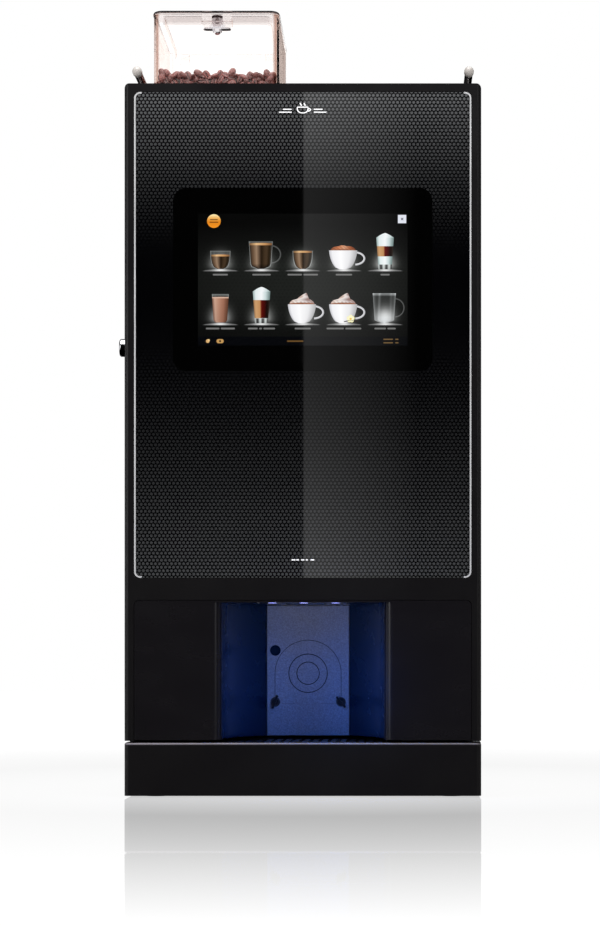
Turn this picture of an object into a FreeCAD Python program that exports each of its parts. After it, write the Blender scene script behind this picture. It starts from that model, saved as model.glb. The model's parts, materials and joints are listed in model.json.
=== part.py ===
import FreeCAD, Part
import math
import os

# Table-top bean-to-cup coffee vending machine.
# Millimetres. Origin: centre of the footprint on the standing surface.
# +X is to the right of a person facing the machine, -Y is the front, +Z is up.

# ---------------------------------------------------------------- driving sizes
WIDTH = 370.0
DEPTH = 500.0
BODY_TOP = 740.0
BASE_TOP = 57.0
FOOT_HEIGHT = 2.0
DOOR_DEPTH = 50.0
DOOR_GAP = 3.0
PORT_DEPTH = 9.0
SHEET = 2.0
WALL = 3.0
CORNER_R = 5.0
FIT = 0.05
LOOSE = 0.3
SLIDE_GAP = 0.5

# ---------------------------------------------------------------- derived places
HALF_W = WIDTH / 2
FRONT_Y = -DEPTH / 2
DOOR_REAR = FRONT_Y + DOOR_DEPTH
CAB_FRONT = DOOR_REAR + DOOR_GAP
CAB_REAR = DEPTH / 2 - PORT_DEPTH
DOOR_BOTTOM = BASE_TOP + 2.0
INSIDE_X = HALF_W - SHEET
DOOR_IN_X = HALF_W - WALL
DOOR_FRONT_WALL = 6.0
DOOR_IN_Y = FRONT_Y + DOOR_FRONT_WALL
CAP_Z = BODY_TOP - 10.0
CAP_IN_Z = BODY_TOP - SHEET

DRAWER_FRONT_T = 12.0
BASE_FRONT = FRONT_Y + DRAWER_FRONT_T + 1.0
BASE_WALL = 2.0
DECK_T = 2.5
TRAY_HALF_X = 100.0
TRAY_REAR = -95.0
TRAY_TOP = 52.0
GRILLE_TOP = 56.0
GRILLE_NOTCH_HALF_X = 12.0
GRILLE_NOTCH_DEPTH = 10.0
DECK_CUT_X = TRAY_HALF_X + 2.0
DECK_CUT_Y = TRAY_REAR + 2.0
FOOT_X = 155.0
FOOT_Y = 205.0
BOLT_X = 120.0
BOLT_FRONT_Y = -60.0
BOLT_REAR_Y = 200.0
BOLT_R = 4.5

HINGE_X = 176.5
HINGE_Y = -209.0
HINGE_PIN_R = 3.0
HINGE_ARM_Z = 731.0
HINGE_ARM_HALF = 6.0

GLASS_HALF_X = 174.6
GLASS_Z0 = 228.0
GLASS_Z1 = 731.0
GLASS_R = 6.3
GLASS_T = 4.0
GLASS_FRONT = FRONT_Y + 0.5
TRIM_W = 1.6
SCREEN_Z = 536.8
TOUCH_W = 268.8
TOUCH_H = 189.6
TOUCH_R = 13.0
LCD_W = 232.0
LCD_H = 150.0
LCD_T = 8.0

NICHE_HALF_X = 94.0
NICHE_TOP = 202.5
NICHE_BACK = -100.0
NICHE_BACK_HALF = 46.0
NICHE_LIP_R = 10.0
FASCIA_HALF_X = 174.5
FASCIA_TOP = 204.5
FASCIA_BOTTOM = DOOR_BOTTOM + 1.0
LED_PITCH = 33.0
LED_Y = -220.0
LED_R = 4.5
EMBLEM_Z = 128.0
SCREW_X = 36.0
SCREW_Z = 96.5
WING_DEEP = 4.0
WING_REACH = 7.6

LOCK_Y = -218.0
LOCK_Z = 470.0
LOCK_BEZEL_R = 9.3
LOCK_OUT = 8.0
PLUG_R = 5.0

RAIL_X = 172.5
RAIL_Z = 754.5
RAIL_R = 5.0
RAIL_END = 235.0

HOP_X0 = -163.0
HOP_X1 = -29.0
HOP_Y0 = -170.0
HOP_Y1 = 5.0
HOP_WALL = 2.5
HOP_CORNER_R = 10.0
LID_EDGE_R = 3.2
LID_Z = 833.0
LID_T = 4.0
LID_HINGE_Y = 10.0
LID_HINGE_Z = 830.0
LID_LOCK_Y = HOP_Y0 + 21.0
GRIND_X = (HOP_X0 + HOP_X1) / 2
GRIND_Y = (HOP_Y0 + HOP_Y1) / 2
THROAT_HALF = 25.0
THROAT_HOLE = 20.0
THROAT_Z0 = 688.0
THROAT_Z1 = 702.0
BEANS_TOP = 772.0
SHUTTER_Z = 694.0

PLATE_Y = 60.0
PLATE_T = 3.0
APRON_Y = -133.0
CAN_X = (17.0, 81.0, 145.0)
CAN_HALF = 29.0
CAN_Y0 = -150.0
CAN_Y1 = 40.0
CAN_Z0 = 470.0
CAN_Z1 = 660.0
CAN_WALL = 2.0
AUGER_Z = 486.0
AUGER_R = 12.0
SPOUT_DEPTH = 24.0
BOWL_Y = CAN_Y0 - SPOUT_DEPTH / 2
BOWL_R = 25.5
BOWL_TOP = 455.0
WHIP_Z = 385.0
WHIP_R = 20.0

BREW_X = GRIND_X
BREW_Y = -70.0
BREW_BORE = 26.0
RACK_M = 1.5
GEAR_TEETH = 18
GEAR_Z = 350.0
GEAR_W = 10.0

BIN_X0 = -165.0
BIN_X1 = -25.0
BIN_Y0 = -62.0
BIN_Y1 = 50.0
BIN_TOP = 250.0

FAN_X = 100.0
FAN_Z = 600.0
FAN_SIZE = 92.0
FAN_DEPTH = 25.0
INLET_X = 140.0
INLET_Z = 95.0
SWITCH_TILT = 8.0
WATER_X = -130.0
WATER_Z = 100.0

V = FreeCAD.Vector
PLANES = {
    "x": (V(0, 1, 0), V(0, 0, 1), V(1, 0, 0)),
    "y": (V(1, 0, 0), V(0, 0, 1), V(0, 1, 0)),
    "z": (V(1, 0, 0), V(0, 1, 0), V(0, 0, 1)),
}


# ---------------------------------------------------------------- shape helpers
def box(x0, x1, y0, y1, z0, z1):
    return Part.makeBox(x1 - x0, y1 - y0, z1 - z0, V(x0, y0, z0))


def rod(point, axis, r, length):
    return Part.makeCylinder(r, length, V(*point), V(*axis))


def cone(point, axis, r0, r1, length):
    return Part.makeCone(r0, r1, length, V(*point), V(*axis))


def ball(point, r):
    return Part.makeSphere(r, V(*point))


def joined(shapes):
    return shapes[0].multiFuse(list(shapes[1:])).removeSplitter()


def without(shape, cutters):
    return shape.cut(Part.makeCompound(list(cutters)))


def slab(normal, a0, a1, b0, b1, lo, hi, r):
    """A prism with a rounded-rectangle section, a and b being the two axes across normal."""
    u, v, n = PLANES[normal]
    s = r * (1 - math.sqrt(0.5))

    def at(a, b):
        return u * a + v * b + n * lo

    corners = [
        (at(a1 - r, b0), at(a1 - s, b0 + s), at(a1, b0 + r)),
        (at(a1, b1 - r), at(a1 - s, b1 - s), at(a1 - r, b1)),
        (at(a0 + r, b1), at(a0 + s, b1 - s), at(a0, b1 - r)),
        (at(a0, b0 + r), at(a0 + s, b0 + s), at(a0 + r, b0)),
    ]
    edges = []
    for i, (start, middle, end) in enumerate(corners):
        edges.append(Part.Arc(start, middle, end).toShape())
        edges.append(Part.LineSegment(end, corners[(i + 1) % 4][0]).toShape())
    return Part.Face(Part.Wire(edges)).extrude(n * (hi - lo))


def prism(points, normal, lo, hi):
    """A straight-sided prism over the polygon points, given on the two axes across normal."""
    u, v, n = PLANES[normal]
    ring = [u * a + v * b + n * lo for a, b in points]
    return Part.Face(Part.makePolygon(ring + ring[:1])).extrude(n * (hi - lo))


def tapered(low, high, z0, z1):
    """A four-sided funnel body between two rectangles (x0, x1, y0, y1) at z0 and z1."""
    wires = []
    for (x0, x1, y0, y1), z in ((low, z0), (high, z1)):
        ring = [V(x0, y0, z), V(x1, y0, z), V(x1, y1, z), V(x0, y1, z)]
        wires.append(Part.makePolygon(ring + ring[:1]))
    return Part.makeLoft(wires, True, True)


def edges_near(shape, wanted):
    """The edges whose middle point satisfies wanted(point)."""
    found = []
    for edge in shape.Edges:
        middle = edge.valueAt((edge.FirstParameter + edge.LastParameter) / 2)
        if wanted(middle):
            found.append(edge)
    return found


def hose(points, r):
    """A tube along straight runs joined by tangent arcs as large as the runs allow."""
    pts = [V(*p) for p in points]
    edges = []
    last = pts[0]
    for i in range(1, len(pts) - 1):
        back = pts[i - 1] - pts[i]
        ahead = pts[i + 1] - pts[i]
        reach = 0.45 * min(back.Length, ahead.Length)
        back.normalize()
        ahead.normalize()
        start = pts[i] + back * reach
        end = pts[i] + ahead * reach
        half = back.getAngle(ahead) / 2
        bisector = (back + ahead).normalize()
        arc_r = reach * math.tan(half)
        centre = pts[i] + bisector * (reach / math.cos(half))
        middle = centre - bisector * arc_r
        edges.append(Part.LineSegment(last, start).toShape())
        edges.append(Part.Arc(start, middle, end).toShape())
        last = end
    edges.append(Part.LineSegment(last, pts[-1]).toShape())
    path = Part.Wire(edges)
    profile = Part.Wire([Part.makeCircle(r, pts[0], pts[1] - pts[0])])
    return path.makePipeShell([profile], True, True)


def stadium_slots(x_list, z_list, length, width, y0, y1):
    """Rows of horizontal round-ended slots through a plate that faces Y."""
    return [
        slab("y", x - length / 2, x + length / 2, z - width / 2, z + width / 2, y0, y1, width / 2 - 0.01)
        for x in x_list
        for z in z_list
    ]


def spread(first, last, count):
    step = (last - first) / (count - 1)
    return [first + i * step for i in range(count)]


def save(name, shape):
    shape.exportStep("parts/" + name + ".step")
    solids = shape.Solids
    print(name, len(solids), round(sum(s.Volume for s in solids)), all(s.isValid() for s in solids))


# ---------------------------------------------------------------- base and drip drawer
def base_pan():
    outer = slab("z", -HALF_W, HALF_W, BASE_FRONT, CAB_REAR, FOOT_HEIGHT, BASE_TOP, CORNER_R)
    hollow = box(
        -HALF_W + BASE_WALL, HALF_W - BASE_WALL, BASE_FRONT + BASE_WALL, CAB_REAR - BASE_WALL,
        FOOT_HEIGHT + BASE_WALL, BASE_TOP - DECK_T,
    )
    floor_z = FOOT_HEIGHT + BASE_WALL
    mouth = box(-DECK_CUT_X, DECK_CUT_X, BASE_FRONT - 1, DECK_CUT_Y, floor_z, BASE_TOP + 1)
    holes = []
    for x in (-FOOT_X, FOOT_X):
        for y in (-FOOT_Y, FOOT_Y):
            holes.append(rod((x, y, 0), (0, 0, 1), 4.2, floor_z + 1))
    for x in (-BOLT_X, BOLT_X):
        for y in (BOLT_FRONT_Y, BOLT_REAR_Y):
            holes.append(rod((x, y, 0), (0, 0, 1), BOLT_R, floor_z + 1))
    return without(outer, [hollow, mouth] + holes)


def feet():
    """Push-in rubber feet: disc, stem through the base sheet, and a barb above it."""
    result = []
    for x in (-FOOT_X, FOOT_X):
        for y in (-FOOT_Y, FOOT_Y):
            disc = rod((x, y, 0), (0, 0, 1), 15.0, FOOT_HEIGHT)
            stem = rod((x, y, 0), (0, 0, 1), 4.0, 8.0)
            barb = cone((x, y, FOOT_HEIGHT + BASE_WALL), (0, 0, 1), 6.0, 4.0, 4.0)
            result.append(joined([disc, stem, barb]))
    return Part.makeCompound(result)


def drawer_front():
    body = slab(
        "z", -HALF_W, HALF_W, FRONT_Y, FRONT_Y + 3 * DRAWER_FRONT_T, FOOT_HEIGHT, BASE_TOP, CORNER_R
    )
    body = body.common(box(-HALF_W, HALF_W, FRONT_Y, FRONT_Y + DRAWER_FRONT_T, 0, BASE_TOP))
    rim = edges_near(body, lambda p: p.z > BASE_TOP - 0.1 and p.y < FRONT_Y + CORNER_R)
    return body.makeFillet(1.8, rim)


def drip_tray():
    y0 = FRONT_Y + DRAWER_FRONT_T
    z0 = FOOT_HEIGHT + BASE_WALL + LOOSE
    outer = slab("z", -TRAY_HALF_X, TRAY_HALF_X, y0, TRAY_REAR, z0, TRAY_TOP, 4.0)
    inner = slab("z", -TRAY_HALF_X + 2, TRAY_HALF_X - 2, y0 + 2, TRAY_REAR - 2, z0 + 2, TRAY_TOP + 1, 3.0)
    return outer.cut(inner)


def drip_grille():
    """Slotted plate resting on the tray's rim, with a finger notch in its front edge for lifting it out."""
    y0 = FRONT_Y + DRAWER_FRONT_T + 1
    y1 = TRAY_REAR - 1
    plate = slab("z", -TRAY_HALF_X + 1, TRAY_HALF_X - 1, y0, y1, TRAY_TOP, GRILLE_TOP, 4.0)
    hollow = box(-TRAY_HALF_X + 5, TRAY_HALF_X - 5, y0 + 4, y1 - 4, TRAY_TOP - 1, GRILLE_TOP - 1.5)
    notch = slab(
        "z", -GRILLE_NOTCH_HALF_X, GRILLE_NOTCH_HALF_X, y0 - GRILLE_NOTCH_DEPTH, y0 + GRILLE_NOTCH_DEPTH,
        TRAY_TOP - 1, GRILLE_TOP + 1, 7.0,
    )
    slots = []
    for x in spread(-85.0, 85.0, 18):
        for y in spread(y0 + 32, y1 - 26, 3):
            slots.append(slab("z", x - 2.2, x + 2.2, y - 18, y + 18, TRAY_TOP, GRILLE_TOP + 1, 2.1))
    return without(plate, [hollow, notch] + slots)


# ---------------------------------------------------------------- cabinet shell
def side_panel(side):
    """side is -1 for the left panel and 1 for the right one."""
    x_out = side * HALF_W
    x_in = side * INSIDE_X
    x_flange = side * (INSIDE_X - 10)
    sheet = box(min(x_out, x_in), max(x_out, x_in), CAB_FRONT, CAB_REAR - SHEET, BASE_TOP, CAP_Z)
    flange = box(min(x_in, x_flange), max(x_in, x_flange), CAB_FRONT, CAB_FRONT + SHEET, BASE_TOP, CAP_Z - 2)
    hem = box(
        min(x_in, x_flange), max(x_in, x_flange),
        CAB_REAR - 2 * SHEET, CAB_REAR - SHEET, BASE_TOP, CAP_Z - 2,
    )
    panel = joined([sheet, flange, hem])
    louvres = []
    for z in spread(110.0, 200.0, 7):
        louvres.append(slab("x", 110, 200, z - 2, z + 2, -HALF_W - 1, HALF_W + 1, 1.9))
    panel = without(panel, louvres)
    if side < 0:
        pin = rod((x_in, LOCK_Y + 27.5, LOCK_Z - 4), (1, 0, 0), 3.0, 18.0)
        block = box(x_in, x_in + 6, CAB_FRONT, LOCK_Y + 31, LOCK_Z - 14, LOCK_Z + 6)
        panel = joined([panel, block, pin])
    return panel


def rear_panel():
    sheet = box(-HALF_W, HALF_W, CAB_REAR - SHEET, CAB_REAR, BASE_TOP, CAP_Z)
    y0 = CAB_REAR - SHEET - 1
    y1 = CAB_REAR + 1
    cuts = stadium_slots(spread(-120, 0, 3), spread(560, 680, 11), 46.0, 5.0, y0, y1)
    cuts += stadium_slots(spread(-20, 20, 2), spread(80, 140, 6), 30.0, 5.0, y0, y1)
    for ring in range(1, 5):
        inner = rod((FAN_X, y0, FAN_Z), (0, 1, 0), ring * 9.0, y1 - y0)
        outer = rod((FAN_X, y0, FAN_Z), (0, 1, 0), ring * 9.0 + 5.0, y1 - y0)
        spokes = box(FAN_X - 50, FAN_X + 50, y0, y1, FAN_Z - 2.5, FAN_Z + 2.5)
        uprights = box(FAN_X - 2.5, FAN_X + 2.5, y0, y1, FAN_Z - 50, FAN_Z + 50)
        cuts.append(outer.cut(inner).cut(spokes).cut(uprights))
    cuts.append(rod((WATER_X, y0, WATER_Z), (0, 1, 0), 12.0, y1 - y0))
    cuts.append(box(INLET_X - 28, INLET_X + 28, y0, y1, INLET_Z - 14, INLET_Z + 14))
    return without(sheet, cuts)


def top_panel():
    """Cap with a down-turned edge on the left, right and rear, and an opening under the hopper."""
    outer = slab("y", -HALF_W, HALF_W, CAP_Z - 20, BODY_TOP, CAB_FRONT, CAB_REAR, CORNER_R)
    outer = outer.common(box(-HALF_W, HALF_W, CAB_FRONT, CAB_REAR, CAP_Z, BODY_TOP))
    rear = edges_near(outer, lambda p: p.y > CAB_REAR - 0.1 and p.z > BODY_TOP - CORNER_R)
    outer = outer.makeFillet(3.0, rear)
    hollow = box(-INSIDE_X, INSIDE_X, CAB_FRONT - 1, CAB_REAR - SHEET, CAP_Z - 1, CAP_IN_Z)
    opening = slab("z", HOP_X0 + 8, HOP_X1 - 8, HOP_Y0 + 8, HOP_Y1 - 8, CAP_Z, BODY_TOP + 1, 2.0)
    return without(outer, [hollow, opening])


def mounting_plate():
    """Upright sheet between the brewing side and the water side, with the canister shelf on its
    front and the shelf's down-turned apron that carries the mixer motors."""
    plate = box(-180, 180, PLATE_Y, PLATE_Y + PLATE_T, BASE_TOP, 728)
    x0 = CAN_X[0] - CAN_HALF
    x1 = INSIDE_X - 5
    shelf = box(x0, x1, APRON_Y - PLATE_T, PLATE_Y, CAN_Z0 - PLATE_T, CAN_Z0)
    apron = box(x0, x1, APRON_Y - PLATE_T, APRON_Y, WHIP_Z - 30, CAN_Z0)
    holes = []
    for x in CAN_X:
        holes.append(rod((x, PLATE_Y - 1, AUGER_Z), (0, 1, 0), 6.0, PLATE_T + 2))
        holes.append(rod((x, APRON_Y - PLATE_T - 1, WHIP_Z), (0, 1, 0), 6.0, PLATE_T + 2))
    holes.append(rod((BREW_X + 30, PLATE_Y - 1, 520), (0, 1, 0), 8.0, PLATE_T + 2))
    holes.append(slab("y", 40, 100, 680, 720, PLATE_Y - 1, PLATE_Y + PLATE_T + 1, 6.0))
    return without(joined([plate, shelf, apron]), holes)


def rails():
    """Two tubular rails along the top edges, each on three short posts."""
    result = []
    for x in (-RAIL_X, RAIL_X):
        tube = rod((x, -RAIL_END, RAIL_Z), (0, 1, 0), RAIL_R - 0.8, 2 * RAIL_END)
        posts = []
        for y in (-185.0, 10.0, 205.0):
            posts.append(rod((x, y, BODY_TOP), (0, 0, 1), 3.2, RAIL_Z - BODY_TOP))
            posts.append(rod((x, y, BODY_TOP), (0, 0, 1), 6.0, 1.6))
        result.append(joined([tube] + posts))
    return Part.makeCompound(result)


def rail_end_caps():
    """Domed caps that close the four rail ends."""
    result = []
    for x in (-RAIL_X, RAIL_X):
        for side in (-1, 1):
            end = side * RAIL_END
            collar = rod((x, end, RAIL_Z), (0, side, 0), RAIL_R, 6.0)
            dome = ball((x, end + side * 6.0, RAIL_Z), RAIL_R)
            cap = joined([collar, dome])
            limit = box(x - 9, x + 9, min(end, end + side * 12), max(end, end + side * 12), 740, 770)
            result.append(cap.common(limit))
    return Part.makeCompound(result)


def door_hinges():
    """Upper hinge arm with its pin, and the lower pin that stands on the base."""
    arm = box(HINGE_X - HINGE_ARM_HALF, HINGE_X + HINGE_ARM_HALF, HINGE_Y, -180, HINGE_ARM_Z, HINGE_ARM_Z + 2)
    nose = rod((HINGE_X, HINGE_Y, HINGE_ARM_Z), (0, 0, 1), HINGE_ARM_HALF, 2.0)
    block = box(HINGE_X - HINGE_ARM_HALF, HINGE_X + HINGE_ARM_HALF, -192, -180, HINGE_ARM_Z, CAP_IN_Z)
    top_pin = rod((HINGE_X, HINGE_Y, HINGE_ARM_Z), (0, 0, 1), HINGE_PIN_R, 7.0)
    foot = rod((HINGE_X, HINGE_Y, BASE_TOP), (0, 0, 1), 7.0, 1.5)
    low_pin = rod((HINGE_X, HINGE_Y, BASE_TOP), (0, 0, 1), HINGE_PIN_R, 9.0)
    return Part.makeCompound([joined([arm, nose, block, top_pin]), joined([foot, low_pin])])


# ---------------------------------------------------------------- door
def door_frame():
    outer = slab("z", -HALF_W, HALF_W, FRONT_Y, DOOR_REAR, DOOR_BOTTOM, BODY_TOP, CORNER_R)
    outline = slab("y", -HALF_W, HALF_W, DOOR_BOTTOM - 20, BODY_TOP, FRONT_Y, DOOR_REAR, CORNER_R)
    outer = outer.common(outline)
    hollow = box(-DOOR_IN_X, DOOR_IN_X, DOOR_IN_Y, DOOR_REAR + 1, DOOR_BOTTOM + WALL, BODY_TOP - WALL)
    shell = outer.cut(hollow)
    upper_boss = rod((HINGE_X, HINGE_Y, HINGE_ARM_Z + 3), (0, 0, 1), 7.5, 4.0)
    lower_boss = rod((HINGE_X, HINGE_Y, DOOR_BOTTOM), (0, 0, 1), 7.5, 8.0)
    shell = joined([shell, upper_boss, lower_boss])
    recess = slab("y", -175.0, 175.0, GLASS_Z0 - 0.4, GLASS_Z1 + 0.4, FRONT_Y - 1, GLASS_FRONT + GLASS_T, 6.8)
    window = slab("y", -165, 165, 238, 721, FRONT_Y - 1, DOOR_IN_Y + 1, 4.0)
    lower = slab("y", -175, 175, DOOR_BOTTOM - 20, FASCIA_TOP + 0.5, FRONT_Y - 1, DOOR_IN_Y + 1, 5.5)
    underside = box(-98, 98, FRONT_Y - 1, DOOR_REAR + 1, DOOR_BOTTOM - 1, DOOR_BOTTOM + WALL + 1)
    arm_sweep = box(DOOR_IN_X - 1, HALF_W + 1, HINGE_Y - 10, DOOR_REAR + 1, HINGE_ARM_Z - 1, HINGE_ARM_Z + 3)
    bore_r = HINGE_PIN_R + FIT
    upper_bore = rod((HINGE_X, HINGE_Y, HINGE_ARM_Z), (0, 0, 1), bore_r, 7.5)
    lower_bore = rod((HINGE_X, HINGE_Y, DOOR_BOTTOM - 1), (0, 0, 1), bore_r, 12.0)
    lock_hole = rod((-HALF_W - 1, LOCK_Y, LOCK_Z), (1, 0, 0), 7.2, 6.0)
    cuts = [recess, window, lower, underside, arm_sweep, upper_bore, lower_bore, lock_hole]
    return without(shell, cuts)


def trim_ring(grow):
    """The band along both long edges of the glass, curling round its corners."""
    inset = TRIM_W + grow
    y1 = GLASS_FRONT + GLASS_T
    outer = slab("y", -GLASS_HALF_X, GLASS_HALF_X, GLASS_Z0, GLASS_Z1, FRONT_Y, y1, GLASS_R)
    inner = slab(
        "y", -GLASS_HALF_X + inset, GLASS_HALF_X - inset, GLASS_Z0 + inset, GLASS_Z1 - inset,
        FRONT_Y - 1, y1 + 1, GLASS_R - TRIM_W,
    )
    keep = GLASS_HALF_X - GLASS_R - 1.5 - grow
    middle = box(-keep, keep, FRONT_Y - 1, y1 + 1, GLASS_Z0 - 1, GLASS_Z1 + 1)
    return without(outer, [inner, middle])


def panel_trims():
    return trim_ring(0.0)


def glass_panel():
    y1 = GLASS_FRONT + GLASS_T
    sheet = slab("y", -GLASS_HALF_X, GLASS_HALF_X, GLASS_Z0, GLASS_Z1, GLASS_FRONT, y1, GLASS_R)
    screen = slab(
        "y", -TOUCH_W / 2, TOUCH_W / 2, SCREEN_Z - TOUCH_H / 2, SCREEN_Z + TOUCH_H / 2,
        GLASS_FRONT - 1, y1 + 1, TOUCH_R,
    )
    return without(sheet, [screen, trim_ring(0.1)])


def touch_panel():
    gap = 0.2
    return slab(
        "y", -TOUCH_W / 2 + gap, TOUCH_W / 2 - gap, SCREEN_Z - TOUCH_H / 2 + gap,
        SCREEN_Z + TOUCH_H / 2 - gap, GLASS_FRONT, GLASS_FRONT + 2.5, TOUCH_R - gap,
    )


def display_module():
    """Liquid-crystal module with its driver board and the brackets that hold both to the door."""
    y0 = GLASS_FRONT + 2.5
    half_h = LCD_H / 2
    module = box(-LCD_W / 2, LCD_W / 2, y0, y0 + LCD_T, SCREEN_Z - half_h, SCREEN_Z + half_h)
    board = box(-95, 95, y0 + LCD_T + 6, y0 + LCD_T + 7.6, SCREEN_Z - 60, SCREEN_Z + 60)
    posts = []
    for x in (-85, 85):
        for z in (SCREEN_Z - 50, SCREEN_Z + 50):
            posts.append(rod((x, y0 + LCD_T, z), (0, 1, 0), 3.0, 6.0))
    chip = box(-18, 18, y0 + LCD_T + 7.6, y0 + LCD_T + 10, SCREEN_Z - 18, SCREEN_Z + 18)
    plug = box(40, 80, y0 + LCD_T + 7.6, y0 + LCD_T + 16, SCREEN_Z - 56, SCREEN_Z - 46)
    ears = []
    for z in (SCREEN_Z - 60, SCREEN_Z + 44):
        ears.append(box(-176, -LCD_W / 2, DOOR_IN_Y, DOOR_IN_Y + 2, z, z + 16))
        ears.append(box(LCD_W / 2, 176, DOOR_IN_Y, DOOR_IN_Y + 2, z, z + 16))
    return joined([module, board, chip, plug] + posts + ears)


def door_inner_cover():
    y0 = DOOR_REAR - SHEET
    sheet = box(-DOOR_IN_X + 0.5, DOOR_IN_X - 0.5, y0, DOOR_REAR, 214, BODY_TOP - WALL - 0.5)
    lock_slot = box(-178, -160, y0 - 1, DOOR_REAR + 1, LOCK_Z - 12, LOCK_Z + 40)
    hinge_slot = box(164, DOOR_IN_X, y0 - 1, DOOR_REAR + 1, HINGE_ARM_Z - 2, BODY_TOP)
    ribs = []
    for z in (330, 430, 640):
        ribs.append(slab("y", -120, 120, z - 12, z + 12, y0 - 1, y0 + 0.8, 6.0))
    ribs.append(slab("y", -120, 120, 500, 580, y0 - 1, y0 + 0.8, 6.0))
    return without(sheet, [lock_slot, hinge_slot] + ribs)


def niche_plan(grow, lo, hi):
    """Plan of the cup bay: wide rounded mouth, side walls that draw in towards the back."""
    r = NICHE_LIP_R
    s = r * math.sqrt(0.5)
    back = NICHE_BACK + grow
    centre_x = NICHE_HALF_X
    centre_y = FRONT_Y + r
    mouth = V(NICHE_HALF_X + grow, FRONT_Y, lo)
    lip_start = V(NICHE_HALF_X + 0.0, FRONT_Y, lo)
    lip_mid = V(centre_x - s, centre_y - s, lo)
    wall_start = V(NICHE_HALF_X - r + grow, centre_y, lo)
    wall_mid = V(76 + grow, -165, lo)
    wall_end = V(NICHE_BACK_HALF + grow, -106, lo)
    corner = V(NICHE_BACK_HALF + grow, back, lo)

    def mirrored(p):
        return V(-p.x, p.y, p.z)

    def outline(flip):
        def at(p):
            return mirrored(p) if flip else p

        edges = []
        if grow == 0:
            edges.append(Part.Arc(at(lip_start), at(lip_mid), at(wall_start)).toShape())
        else:
            square = V(mouth.x, centre_y, lo)
            edges.append(Part.LineSegment(at(mouth), at(square)).toShape())
            edges.append(Part.LineSegment(at(square), at(wall_start)).toShape())
        edges.append(Part.Arc(at(wall_start), at(wall_mid), at(wall_end)).toShape())
        edges.append(Part.LineSegment(at(wall_end), at(corner)).toShape())
        return edges

    first = lip_start if grow == 0 else mouth
    front = Part.LineSegment(first, mirrored(first)).toShape()
    rear = Part.LineSegment(corner, mirrored(corner)).toShape()
    ring = Part.sortEdges(outline(False) + outline(True) + [front, rear])[0]
    return Part.Face(Part.Wire(ring)).extrude(V(0, 0, hi - lo))


def niche_moulding():
    """One-piece glossy moulding: flat fascia, curved side walls, ceiling and the rear seat."""
    z0 = FASCIA_BOTTOM
    face = slab(
        "y", -FASCIA_HALF_X, FASCIA_HALF_X, z0 - 20, FASCIA_TOP, FRONT_Y, DOOR_IN_Y, CORNER_R
    )
    face = face.common(box(-HALF_W, HALF_W, FRONT_Y, DOOR_IN_Y, z0, FASCIA_TOP))
    rim = box(-DOOR_IN_X + 1, DOOR_IN_X - 1, DOOR_IN_Y, DOOR_IN_Y + 2, DOOR_BOTTOM + WALL, FASCIA_TOP + 7)
    ceiling_top = FASCIA_TOP
    shell = niche_plan(2.5, z0, ceiling_top)
    void = niche_plan(0, z0 - 1, NICHE_TOP)
    back_gap = box(-30, 30, NICHE_BACK - 2, NICHE_BACK + 6, z0 - 1, NICHE_TOP)
    nozzle_port = slab("z", -22, 22, -192, -150, NICHE_TOP - 1, ceiling_top + 1, 5.0)
    leds = [rod((x, LED_Y, NICHE_TOP - 1), (0, 0, 1), LED_R + 0.2, 4.0) for x in (-LED_PITCH, 0, LED_PITCH)]
    seat = joined([face, rim, shell])
    under = box(-98, 98, FRONT_Y - 1, DOOR_IN_Y + 3, DOOR_BOTTOM, z0)
    screws = [rod((x, NICHE_BACK - 1, SCREW_Z), (0, 1, 0), 2.6, 8.0) for x in (-SCREW_X, SCREW_X)]
    return without(seat, [void, back_gap, nozzle_port, under] + leds + screws)


def niche_back_panel():
    """Textured back of the cup bay with a raised arch, a ring, two screw seats and a sensor hole."""
    y1 = NICHE_BACK
    y0 = y1 - 3.0
    half = NICHE_BACK_HALF - 0.6
    panel = slab("z", -half, half, y0, y1, FASCIA_BOTTOM, NICHE_TOP - 0.5, 1.4)
    arch_r = 35.9
    arch = joined([
        rod((0, y0 - 1.0, EMBLEM_Z), (0, 1, 0), arch_r, 1.0),
        box(-arch_r, arch_r, y0 - 1.0, y0, 95.0, EMBLEM_Z),
    ])
    grooves = []
    for r in (21.6, 12.8):
        ring = rod((0, y0 - 2, EMBLEM_Z), (0, 1, 0), r, 1.6)
        grooves.append(ring.cut(rod((0, y0 - 2, EMBLEM_Z), (0, 1, 0), r - 1.1, 1.6)))
    sensor = rod((-36, y0 - 3, 153), (0, 1, 0), 5.9, 8.0)
    screw_holes = [rod((x, y0 - 3, SCREW_Z), (0, 1, 0), 2.6, 8.0) for x in (-SCREW_X, SCREW_X)]
    seats = [rod((x, y0 - 3, SCREW_Z), (0, 1, 0), 6.9, 3.0) for x in (-SCREW_X, SCREW_X)]
    return without(joined([panel, arch]), [sensor] + grooves + screw_holes + seats)


def niche_thumbscrews():
    """Two wing screws that hold the bay's back panel, each stopped at its own angle."""
    result = []
    y0 = NICHE_BACK - 3.0
    for x, angle in ((-SCREW_X, 20.0), (SCREW_X, -40.0)):
        head = cone((x, y0 - WING_DEEP, SCREW_Z), (0, 1, 0), 3.4, 5.2, WING_DEEP)
        wing = slab(
            "x", y0 - WING_DEEP - 2.5, y0 - 1.4,
            SCREW_Z - WING_REACH, SCREW_Z + WING_REACH, x - 1.1, x + 1.1, 1.8,
        )
        wing.rotate(V(x, y0, SCREW_Z), V(0, 1, 0), angle)
        shank = rod((x, y0, SCREW_Z), (0, 1, 0), 2.4, 4.5)
        result.append(joined([head, wing, shank]))
    return Part.makeCompound(result)


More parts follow.
